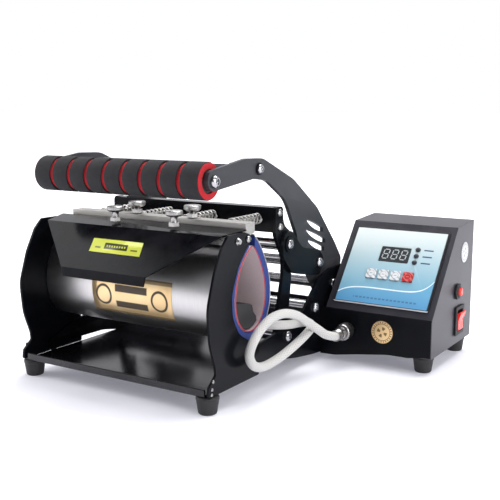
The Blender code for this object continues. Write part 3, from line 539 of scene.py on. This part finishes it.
def metal_paint(dark, light, rough, stretch=(1, 1, 1), scale=120):
    """Clean metal with a faint haze, which may be stretched along one way."""
    def paint(wire):
        haze = wire.noise(scale, 4, stretch)
        return {"Base Color": haze.mix(colour(*dark), colour(*light)), "Roughness": rough + haze * 0.12,
                "Normal": wire.bump(haze, 0.00002, 0.3)}
    return paint


chrome = finish("bright_chrome", metal_paint((0.40, 0.40, 0.42), (0.52, 0.52, 0.54), 0.10, scale=30),
                Metallic=1.0)
plated = finish("nickel_plated_steel", metal_paint((0.30, 0.295, 0.29), (0.50, 0.49, 0.48), 0.22), Metallic=1.0)
zinc = finish("galvanised_bar", metal_paint((0.40, 0.385, 0.36), (0.58, 0.56, 0.53), 0.34, (2, 10, 10), 60),
              Metallic=1.0)


def six_sided(flat, t):
    """Radius of a hexagon at angle t: flat / cos of the angle to the nearest flat's middle."""
    return flat / np.cos(np.mod(t, np.pi / 3) - np.pi / 6)


def hex_socket(depth_from, flat):
    """Pull the socket's wall, outside depth_from, to a hexagon that is flat wide from axis to flat."""
    def ripple(h, r, t):
        return np.where((np.abs(r - flat) < 0.05) & (np.abs(h) > depth_from), six_sided(flat, t) - flat, 0.0)
    return ripple


def half_shaft(body_end, neck_end, neck_r, head_r, head_t, body_r):
    """The right half of a shaft from its middle out: rod, neck, button head and its socket."""
    top = neck_end + head_t
    socket = head_r * 0.48
    floor_of = top - head_t * 0.6
    return [(0.0, body_r), (body_end, body_r), (body_end, neck_r), (neck_end, neck_r), (neck_end, head_r),
            (neck_end + head_t * 0.55, head_r * 0.93), (top, head_r * 0.62), (top, socket), (floor_of, socket),
            (floor_of, 0.0)]


def shaft(node, body, axis_yz, sizes):
    """A chrome shaft across the press, from the sizes of its right half."""
    half = half_shaft(*sizes)
    profile = [(-h, r) for h, r in reversed(half)] + half[1:]
    piece = turned(node + "_bright", profile, (0, *axis_yz), (1, 0, 0), 60,
                   hex_socket(sizes[1] + 0.2, sizes[3] * 0.48), 0.3)
    fit(piece, chrome, body, node)


shaft("grip_rod", "lever", (14.0, 209.6), (102.2, 106.8, 3.0, 6.0, 3.5, 7.4))
shaft("brace_rod", "lever", (90.0, 216.5), (102.2, 107.8, 3.0, 4.8, 2.5, 5.0))
shaft("link_shaft", "lever", (209.0, 107.0), (102.2, 110.8, 3.0, 5.5, 3.2, 7.0))
shaft("push_shaft", "push_frame", (143.0, 136.0), (102.2, 111.8, 3.0, 5.2, 2.0, 7.0))
shaft("tie_rod", "base", (192.0, 60.0), (111.9, 115.5, 3.0, 5.5, 3.2, 7.0))
shaft("frame_shaft", "base", (132.0, 42.0), (102.2, 115.5, 3.0, 5.5, 3.2, 7.0))
shaft("lever_shaft", "base", (234.0, 80.0), (102.2, 115.5, 3.0, 5.5, 3.2, 7.0))


def screw_head(name, centre, axis, radius, height, body):
    """A loose button-head screw with a socket, seated on a sheet."""
    socket, floor_of = radius * 0.45, height * 0.45
    profile = [(0, 0), (0, radius), (height * 0.55, radius * 0.92), (height, radius * 0.6), (height, socket),
               (floor_of, socket), (floor_of, 0)]
    piece = turned(name, profile, centre, axis, 40, hex_socket(height * 0.3, socket), 0.25)
    fit(piece, plated, body)


for side, word in ((-1, "left"), (1, "right")):
    for name, body, y, z, seat, radius in (("brace_washer_", "lever", 90.0, 216.5, 106.8, 6.0),
                                           ("push_washer_", "push_frame", 143.0, 136.0, 110.8, 8.2)):
        ring = [(seat, 3.1), (seat, radius), (seat + 0.9, radius), (seat + 0.9, 3.1), (seat, 3.1)]
        fit(turned(name + word, ring, (0, y, z), (side, 0, 0), 48, None, 0.2), gloss_black, body)

for side, word in ((-1, "left"), (1, "right")):
    for number, place in enumerate(((129.5, 170.0), (130.5, 155.0)), 1):
        screw_head("channel_screw_%s_%d" % (word, number), (side * 106.5, *place), (side, 0, 0), 4.0, 2.4,
                   "push_frame")
    screw_head("hem_screw_" + word, (side * 118.3, 51.6, 153.8), (side, 0, 0), 3.4, 2.2, "base")
    for number, place in enumerate(((-7.0, 31.5), (-9.0, 24.5), (-9.5, 19.8)), 1):
        screw_head("pan_screw_%s_%d" % (word, number), (side * 118.0, *place), (side, 0, 0), 1.7, 1.1, "base")

dress(plated, "front_clamp_rail")

# ---------------------------------------------------------------- foam grip
# Nine black foam sleeves on a red foam core; the core shows as red rings between them and as a red
# face at both ends, round a black plug.


def foam_paint(dark, light):
    """Closed-cell foam: fine cells under a soft cloud."""
    def paint(wire):
        cells = wire.node("ShaderNodeTexVoronoi", links={
            "Vector": wire.node("ShaderNodeTexCoord", out="Object"), "Scale": 1500.0})
        cloud = wire.noise(160, 3)
        return {"Base Color": (cloud * 0.6 + cells * 0.4).mix(colour(*dark), colour(*light)),
                "Roughness": 0.78 + cells * 0.15, "Normal": wire.bump(cells + cloud * 0.6, 0.0002, 0.5)}
    return paint


black_foam = finish("black_foam", foam_paint((0.013, 0.013, 0.015), (0.034, 0.034, 0.037)),
                    Specular_IOR_Level=0.3)
red_foam = finish("red_foam", foam_paint((0.34, 0.008, 0.014), (0.52, 0.020, 0.028)), Specular_IOR_Level=0.35)

GRIP_Y, GRIP_Z = 14.0, 209.6
GRIP_HALF = 100.7
core_end = [(GRIP_HALF, 11.2), (GRIP_HALF, 16.9), (GRIP_HALF - 0.6, 17.0), (GRIP_HALF - 0.6, 15.4)]
core = turned("grip_core", [(h, r) for h, r in core_end] + [(-h, r) for h, r in reversed(core_end)]
              + [(-GRIP_HALF + 3, 11.2), (-GRIP_HALF + 3, 8.0), (GRIP_HALF - 3, 8.0), (GRIP_HALF - 3, 11.2),
                 (GRIP_HALF, 11.2)], (0, GRIP_Y, GRIP_Z), (1, 0, 0), 72, None, 0.4)
fit(core, red_foam, "lever", "foam_grip")
SEGMENTS = 9
SLEEVE_SPAN = 2 * (GRIP_HALF - 0.5) / SEGMENTS
RING_GAP, END_GAP = 2.2, 0.2
for i in range(SEGMENTS):
    middle = -GRIP_HALF + 0.5 + SLEEVE_SPAN * (i + 0.5)
    low = -SLEEVE_SPAN / 2 + (RING_GAP if i else END_GAP)
    high = SLEEVE_SPAN / 2 - (RING_GAP if i < SEGMENTS - 1 else END_GAP)
    profile = [(low, 15.5), (low, 17.5), (high, 17.5), (high, 15.5), (low, 15.5)]
    piece = turned("grip_sleeve_%d" % (i + 1), profile, (middle, GRIP_Y, GRIP_Z), (1, 0, 0), 72, None, 0.8)
    fit(piece, black_foam, "lever")
for side, word in ((-1, "left"), (1, "right")):
    profile = [(97.9, 7.6), (97.9, 11.0), (99.6, 11.0), (99.9, 9.0), (101.9, 9.0), (101.9, 7.6), (97.9, 7.6)]
    piece = turned("grip_plug_" + word, profile, (0, GRIP_Y, GRIP_Z), (side, 0, 0), 56, None, 0.3)
    fit(piece, rubber, "lever")

# ---------------------------------------------------------------- spring clamp
# A galvanised angle bar that the rear hem hangs from, pushed forward by four springs on its studs.
# Knurled thumbscrews hold the guard and the bar.

dress(zinc, "clamp_bar", bevel=0.3)
rod = [(110.7, 0), (110.7, 3.0), (-101.7, 3.0), (-101.7, 0)]
fit(turned("clamp_rod_bright", rod, (0, 54.0, 154.6), (1, 0, 0), 36), chrome, "clamp", "clamp_rod")

SPRING_X = (-78.0, -25.0, 31.0, 86.0)
SPRING_Z = 163.6
SPRING_FRONT, SPRING_BACK = 70.9, 121.1
SPRING_TURNS = 9
COIL_R, WIRE_R, CLOSED = 5.0, 0.78, 1.6
spring_steel = finish("spring_wire", metal_paint((0.34, 0.33, 0.32), (0.56, 0.55, 0.53), 0.28), Metallic=1.0)
coil = np.linspace(0, SPRING_TURNS, SPRING_TURNS * 24)
# The end coils are closed: the wire climbs its own width in the first and last turn, and evenly between.
opened = (SPRING_BACK - SPRING_FRONT - 3 * CLOSED) * np.clip((coil - 1) / (SPRING_TURNS - 2), 0, 1)
closed = CLOSED * (0.5 + np.minimum(coil, 1) + np.maximum(coil - SPRING_TURNS + 1, 0))
for number, x in enumerate(SPRING_X, 1):
    path = np.stack([x + COIL_R * np.cos(2 * np.pi * coil), SPRING_FRONT + closed + opened,
                     SPRING_Z + COIL_R * np.sin(2 * np.pi * coil)], -1)
    spring = tube("coil_spring_%d" % number, path, WIRE_R, 10)
    spring.data.materials.append(spring_steel)
    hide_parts("clamp_spring_%d" % number)
    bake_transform(spring)


def knurl(h, r, t):
    """A diamond knurl on the rim: the product of two sets of ridges that lean left and right."""
    rim = (r > 8.1) & (h > 6.0)
    ridges = np.sin(22 * t + h * 1.9) * np.sin(22 * t - h * 1.9)
    return np.where(rim, 0.22 * np.abs(ridges), 0.0)


def hexagon(h, r, t):
    """The nut on the stem: its radius follows six flats."""
    return np.where((r > 4.9) & (r < 5.3), six_sided(4.9, t) - r, 0.0)


def thumbscrew(node, centre, stem, body):
    """The head is a shallow mushroom with a knurled rim; a collar and a nut sit below it."""
    top = stem + 6.5
    rim = [(top - 0.8 - k * 0.4, 8.45) for k in range(9)]
    under = [(stem + 1.0, 6.7), (stem + 0.2, 3.6), (stem - 1.6, 3.3), (4.4, 3.3)]
    nut = [(4.4, 5.1), (1.0, 5.1), (0.3, 4.6), (0.3, 0)]
    profile = [(top, 0), (top, 3.0), (top - 0.2, 3.4), (top - 0.1, 7.6)] + rim + under + nut
    piece = turned(node + "_knurled", profile, centre, (0, 0, 1), 132,
                   lambda h, r, t: knurl(h, r, t) + hexagon(h, r, t), 0.12)
    fit(piece, plated, body, node)


for word, front_x, rear_x in (("left", -26.0, -23.0), ("right", 47.0, 47.0)):
    thumbscrew("thumbscrew_front_" + word, (front_x, 32.0, 162.3), 9.6, "thumb_front_" + word)
    thumbscrew("thumbscrew_rear_" + word, (rear_x, 62.0, 167.8), 6.4, "thumb_rear_" + word)

# ---------------------------------------------------------------- labels
# Thin stickers with plain marks: a yellow one on the visor, a gold one round the front of the band,
# a gold disc on the apron and a silver disc on the side of the box. None carries lettering.


def yellow_paint(wire):
    """A dark block with a row of dashes between two short bars, on bright yellow."""
    u, v = wire.uv()
    block = u.band(0.27, 0.73, 0.01) * v.band(0.28, 0.74, 0.03)
    dash = (u * 40).math("PINGPONG", 1.0).step(0.45, 0.1) * u.band(0.31, 0.69, 0.01) * v.band(0.44, 0.58, 0.02)
    ends = (u.band(0.09, 0.20, 0.01) + u.band(0.80, 0.93, 0.01)) * v.band(0.30, 0.42, 0.03)
    ink = (block * (1 - dash) + ends * 0.8).clip()
    return {"Base Color": ink.mix(colour(0.80, 0.86, 0.10), colour(0.05, 0.055, 0.02)),
            "Roughness": 0.35 + v * 0.02}


def gold_paint(wire):
    """Two rings beside two bars, between dark edges, on gold foil."""
    u, v = wire.uv()
    panels = u.band(0.04, 0.26, 0.01) + u.band(0.74, 0.96, 0.01)
    bars = u.band(0.30, 0.70, 0.01) * (v.band(0.20, 0.38, 0.02) + v.band(0.62, 0.80, 0.02))
    left, right = ((u - middle) * (u - middle) * 7 + (v - 0.5) * (v - 0.5) for middle in (0.15, 0.85))
    ring = left.band(0.045, 0.075, 0.008) + right.band(0.045, 0.075, 0.008)
    edge = v.step(0.90, 0.02) + (1 - v.step(0.07, 0.02))
    ink = (bars + ring * panels + edge * 0.75).clip()
    sheen = wire.noise(30, 2)
    plain = sheen.mix(colour(0.70, 0.46, 0.20), colour(0.95, 0.74, 0.44))
    return {"Base Color": ink.mix(plain, colour(0.055, 0.035, 0.015)), "Metallic": 0.75 - ink * 0.7,
            "Roughness": 0.30 + ink * 0.15}


def visor(x, share):
    """A point just off the visor's upper face: share 0 at the top fold and 1 at the lower fold."""
    y, z = 20.0 - 39.25 * share, 158.8 - 36.8 * share
    return np.stack([x, y + 0 * x - 0.62, z + 0.66 + 0 * x], -1)


grid = np.stack([visor(np.array([-29.6, 33.2]), 0.60), visor(np.array([-33.0, 29.0]), 0.30)])
fit(skin("visor_sticker", grid, around=False, wall=0.2),
    finish("yellow_sticker", yellow_paint), "base")

angle, across = np.meshgrid(np.radians(np.linspace(131.0, 86.0, 20)), np.linspace(-50.0, 51.0, 12),
                            indexing="ij")
y, z = drop(np.full_like(angle, 1.012), angle)
fit(skin("band_sticker", np.stack([across, y, z], -1), around=False, wall=0.15),
    finish("gold_foil_sticker", gold_paint), "base")


def seal_paint(light, dark, centre, plane, radius):
    """Rings and a plain four-part rosette on a round seal, from its own centre."""
    def paint(wire):
        place = wire.place()
        a, b = (place[plane[0]] - centre[0]) / radius, (place[plane[1]] - centre[1]) / radius
        far = (a * a + b * b).math("SQRT")
        spin = a.math("ARCTAN2", b)
        teeth = (spin * 24).math("SINE").step(0.0, 0.4) * far.band(0.80, 0.90, 0.03)
        rings = far.band(0.70, 0.76, 0.03) + far.step(0.96, 0.02)
        rosette = (spin * 4).math("SINE").step(0.1, 0.3) * far.band(0.18, 0.46, 0.05)
        ink = (teeth + rings + rosette).clip()
        return {"Base Color": ink.mix(colour(*light), colour(*dark)), "Roughness": 0.3 + ink * 0.2}
    return paint


apron_y = (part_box("front_apron")[0][1] - MIDDLE[1]) * 1000
side_x = (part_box("control_box_shell")[1][0] - MIDDLE[0]) * 1000
for name, centre, axis, plane, radius, light, dark, metallic in (
        ("gold_seal", (188.8, apron_y, 39.8), (0, -1, 0), (0, 2), 12.4,
         (0.80, 0.58, 0.30), (0.22, 0.12, 0.04), 0.5),
        ("silver_seal", (side_x, 302.0, 117.0), (1, 0, 0), (1, 2), 11.6,
         (0.66, 0.66, 0.68), (0.30, 0.30, 0.32), 0.3)):
    paint = seal_paint(light, dark, [centre[i] for i in plane], plane, radius)
    profile = [(0, 0), (0, radius), (0.35, radius), (0.35, 0)]
    fit(turned(name, profile, centre, axis, 64, None, 0.1),
        finish(name, paint, Metallic=metallic), "base")

# ---------------------------------------------------------------- control panel
# A polyester overlay printed pale to blue with a white wave, over a smoked window with three
# digits, three lamps and four keys.

PANEL_LEFT, PANEL_RIGHT, PANEL_LOW, PANEL_HIGH = 127.5, 236.5, 8.0, 105.0
FOOT_Y, FOOT_Z = 207.0, 59.0
HEAD_Y, HEAD_Z = 278.0, 147.0
SLOPE = math.atan2(HEAD_Z - FOOT_Z, HEAD_Y - FOOT_Y)
LAMP_RISE = (64.5, 72.5, 80.5)


def on_slope(x, rise, out):
    """A point on the sloping face: along x, up the slope and out from it."""
    return (x, FOOT_Y + math.cos(SLOPE) * rise - math.sin(SLOPE) * out,
            FOOT_Z + math.sin(SLOPE) * rise + math.cos(SLOPE) * out)


def slope_wires(wire):
    """The place along x, and up the slope, of a point on the sloping face."""
    x, y, z = wire.place()
    return x, (y - FOOT_Y) * math.cos(SLOPE) + (z - FOOT_Z) * math.sin(SLOPE)


def panel_paint(wire):
    """Pale to blue up the slope, a deeper blue under a white wave, dashes, and a bar beside each lamp."""
    x, rise = slope_wires(wire)
    across = (x - PANEL_LEFT) / (PANEL_RIGHT - PANEL_LEFT)
    up = (rise - PANEL_LOW) / (PANEL_HIGH - PANEL_LOW)
    sky = up.node("ShaderNodeValToRGB", {"stops": [
        (0.0, (0.16, 0.38, 0.60)), (0.28, (0.23, 0.47, 0.61)), (0.55, (0.41, 0.59, 0.66)),
        (0.80, (0.61, 0.71, 0.72)), (1.0, (0.73, 0.78, 0.78))]}, {0: up + (across - 0.5) * -0.06})
    rise_in = 0.12 * (1 - (across * (14 * math.log(0.5))).math("EXPONENT"))
    wave = rise_in + 0.105 - across * 0.02 + across.math("POWER", 12) * 0.21
    sea = up.node("ShaderNodeValToRGB", {"stops": [
        (0.0, (0.09, 0.31, 0.57)), (1.0, (0.15, 0.41, 0.63))]}, {0: up * 5})
    below = 1 - (up - wave).step(0.0, 0.01)
    printed = below.mix(sky, sea)
    crest = (up - wave).math("ABSOLUTE").math("LESS_THAN", 0.008)
    printed = crest.mix(printed, colour(0.86, 0.95, 0.98))
    row = across.band(0.20, 0.86, 0.01) * up.band(0.075, 0.095, 0.004)
    dashes = (x * 0.45).math("PINGPONG", 1.0).step(0.35, 0.1) * row
    first, second, third = (rise.band(middle - 0.8, middle + 0.8, 0.2) for middle in LAMP_RISE)
    marks = x.band(213.5, 224.0, 0.3) * (first + second + third)
    ink = (dashes * 0.6 + marks).clip()
    inside = across.band(0.018, 0.982, 0.004) * up.band(0.02, 0.98, 0.004)
    # A thin dark border runs round the print; the pale grey line along its lower edge is a painted highlight.
    rim = (1 - up.step(0.012, 0.004)).mix(colour(0.012, 0.012, 0.014), colour(0.55, 0.55, 0.57))
    return {"Base Color": inside.mix(rim, ink.mix(printed, colour(0.03, 0.07, 0.16))),
            "Roughness": 0.30 + wire.noise(300) * 0.06}


dress(finish("printed_overlay", panel_paint, Coat_Weight=0.15), "panel_plate", bevel=0.2)


def window_paint(wire):
    """Smoked acrylic, nearly black."""
    smoke = wire.noise(80, 2)
    return {"Base Color": smoke.mix(colour(0.030, 0.034, 0.036), colour(0.05, 0.055, 0.058)),
            "Roughness": 0.10 + smoke * 0.08}


dress(finish("smoked_window", window_paint), "display_window", bevel=0.4)

# Seven bars a digit, each a slim hexagon, leaning a little; all lie on the window's face.
DIGIT_X, DIGIT_RISE, DIGIT_PITCH = 171.7, 72.0, 10.3
DIGIT_W, DIGIT_H, LEAN = 6.2, 11.4, 0.12
BAR_GAP, BAR_HALF = 0.45, 0.55
WINDOW_FACE = (1.92, 2.02)
BARS = ((0, 1, 0), (0, 0, 0), (0, -1, 0), (-1, 0.5, 1), (1, 0.5, 1), (-1, -0.5, 1), (1, -0.5, 1))
corners = []
for digit in range(3):
    for a, b, upright in BARS:
        tip = (DIGIT_H / 2 if upright else DIGIT_W) / 2 - BAR_GAP
        side = tip - BAR_HALF
        shape = np.array([(-tip, 0), (-side, BAR_HALF), (side, BAR_HALF),
                          (tip, 0), (side, -BAR_HALF), (-side, -BAR_HALF)])
        shape = (shape[:, ::-1] if upright else shape) + (a * DIGIT_W / 2, b * DIGIT_H / 2)
        corners.append(shape @ ((1, 0), (LEAN, 1)) + (DIGIT_X + digit * DIGIT_PITCH, DIGIT_RISE))
points = np.array([[on_slope(px, py, out) for px, py in bar] for out in WINDOW_FACE for bar in corners])
faces = []
for bar in range(len(corners)):
    low = [bar * 6 + k for k in range(6)]
    high = [len(corners) * 6 + k for k in low]
    faces += [low[::-1], high] + [[low[k], low[(k + 1) % 6], high[(k + 1) % 6], high[k]] for k in range(6)]
digits_mesh = bpy.data.meshes.new("digit_bars")
digits_mesh.from_pydata(at(points.reshape(-1, 3)).tolist(), [], faces)
bm = bmesh.new()
bm.from_mesh(digits_mesh)
bmesh.ops.recalc_face_normals(bm, faces=bm.faces)
bm.to_mesh(digits_mesh)
bm.free()
digits = bpy.data.objects.new("digit_bars", digits_mesh)
bpy.context.scene.collection.objects.link(digits)
unlit = finish("unlit_digits", lambda wire: {"Base Color": wire.noise(400).mix(
    colour(0.40, 0.43, 0.44), colour(0.56, 0.60, 0.61))}, Roughness=0.4)
fit(digits, unlit, "base")


def board_paint(wire):
    """Green solder mask over paler tracks."""
    tracks = wire.noise(250, 1)
    return {"Base Color": tracks.step(0.5, 0.05).mix(colour(0.02, 0.12, 0.05), colour(0.05, 0.24, 0.09)),
            "Roughness": 0.35 + tracks * 0.2}


dress(finish("circuit_board", board_paint), "controller_board")
dark_lens = finish("dark_lamp_lens", lambda wire: {"Base Color": wire.noise(300).mix(
    colour(0.02, 0.022, 0.03), colour(0.045, 0.05, 0.06))}, Roughness=0.18)
LAMP_X = 206.5
for number, rise in enumerate(LAMP_RISE, 1):
    out = (0, -math.sin(SLOPE), math.cos(SLOPE))
    dome = [(0.0, 0), (0.0, 2.75), (0.9, 2.75), (1.3, 2.3), (1.75, 1.3), (1.9, 0)]
    piece = turned("lamp_lens_%d" % number, dome, on_slope(LAMP_X, rise, 1.5), out, 32, None, 0.2)
    fit(piece, dark_lens, "base")


KEY_RISE = 46.0


def key_paint(base, ink_colour, x0):
    """A ring with a short bar or dot in it, printed on a moulded cap."""
    def paint(wire):
        x, rise = slope_wires(wire)
        a, b = x - x0, rise - KEY_RISE
        far = (a * a + b * b).math("SQRT")
        swirl = (a * 0.9 + b * 1.1).math("SINE").step(0.3, 0.3) * far.step(3.6, 0.3)
        ring = far.band(3.2, 3.7, 0.2)
        mark = a.math("ABSOLUTE").math("LESS_THAN", 1.5) * b.band(-0.3, 0.3, 0.1)
        ink = (ring * 0.5 + mark + swirl * 0.55).clip()
        return {"Base Color": ink.mix(colour(*base), colour(*ink_colour)), "Roughness": 0.3 + ink * 0.1}
    return paint


for number, x in enumerate((162.0, 176.0, 190.0), 1):
    white_key = finish("white_key_%d" % number, key_paint((0.80, 0.82, 0.83), (0.16, 0.22, 0.26), x))
    dress(white_key, "key_%d" % number, bevel=0.6)
dress(finish("red_key", key_paint((0.50, 0.015, 0.02), (0.75, 0.30, 0.26), 204.0)), "key_4", bevel=0.6)

# ---------------------------------------------------------------- rocker, reset button and inlet
# A snap-in rocker switch with a glowing red cap, a round thermal reset button, and a moulded inlet
# for the mains lead at the back.


def cap_paint(wire):
    """Red polycarbonate, lit a little from inside."""
    depth = wire.noise(90, 2)
    shade = depth.mix(colour(0.70, 0.015, 0.012), colour(0.90, 0.05, 0.03))
    return {"Base Color": shade, "Emission Color": shade, "Roughness": 0.22 + depth * 0.1}


red_cap = finish("red_translucent_cap", cap_paint, Emission_Strength=0.25)
dress(red_cap, "rocker", bevel=0.5)
dress(rubber, "rocker_bezel", "power_inlet", bevel=0.6)
RESET = (side_x, 281.0, 76.5)
NUT_FLAT = 7.97
button = [(5.9, 0), (5.9, 3.5), (5.2, 4.4), (-7.8, 4.4), (-7.8, 0)]
# The reset cap takes the same glowing red as the rocker, though no lamp is in it: its glow is painted light.
fit(turned("reset_cap", button, RESET, (1, 0, 0), 40), red_cap, "reset_cap", "reset_button")
collar = [(3.6, 4.8), (3.6, 6.0), (2.6, 6.4), (2.6, NUT_FLAT), (0.3, NUT_FLAT), (0.3, 5.5), (-9, 5.5),
          (-9, 4.8), (3.6, 4.8)]
fit(turned("reset_collar", collar, RESET, (1, 0, 0), 72,
           lambda h, r, t: np.where(r > 7.5, six_sided(NUT_FLAT, t) - NUT_FLAT, 0.0)),
    rubber, "base", "reset_bezel")

# ---------------------------------------------------------------- round screw connector
# A nickel plated cable connector: a knurled coupling ring on the apron's socket, and a plain barrel
# that steps down to three rings round the sleeve.

PLUG = (149.0, 203.9, 37.0)


def coupling_knurl(h, r, t):
    """Thirty-two straight ridges on the ring's middle: 0.25 |sin 16t| - 0.1."""
    return np.where((r > 8.7) & (h > 2.0) & (h < 12.0), 0.25 * np.abs(np.sin(16 * t)) - 0.1, 0.0)


ring = turned("coupling_knurled", [(14, 6.8), (14, 8.2), (12.8, 8.9)] + [(12.8 - k, 8.9) for k in range(1, 12)]
              + [(0.9, 8.9), (0.3, 8.4), (0.3, 6.8), (14, 6.8)], PLUG, (0, -1, 0), 128, coupling_knurl, 0.25)
fit(ring, plated, "coupling", "coupling_ring")
barrel = [(30, 4.9), (30, 5.9), (28.6, 6.1), (27.4, 5.6), (26.2, 6.1), (25.0, 5.6), (23.8, 6.2), (22, 6.3),
          (20, 5.2), (17, 5.2), (17, 6.5), (-12, 6.5), (-12, 0), (24, 0), (24, 4.9), (30, 4.9)]
fit(turned("connector_barrel", barrel, PLUG, (0, -1, 0), 64, None, 0.25),
    plated, "base", "lead_plug")

# ---------------------------------------------------------------- feet
# Moulded rubber bumpers, tapered towards the table, each with a moulding step at its top.

BUMPER = [(16.7, 0), (16.7, 10.4), (15.9, 11.0), (13.5, 11.0), (13.2, 10.6), (1.2, 8.9), (0, 7.9), (0, 3.2),
          (2.0, 3.0), (2.0, 0)]
for node in ("foot_front_left", "foot_front_right", "foot_box_front", "foot_box_back", "foot_rear_left"):
    low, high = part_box(node)
    centre = [((low[i] + high[i]) / 2 - MIDDLE[i]) * 1000 for i in range(2)] + [0]
    fit(turned(node + "_moulded", BUMPER, centre, (0, 0, 1), 64, None, 0.4),
        rubber, "base", node)
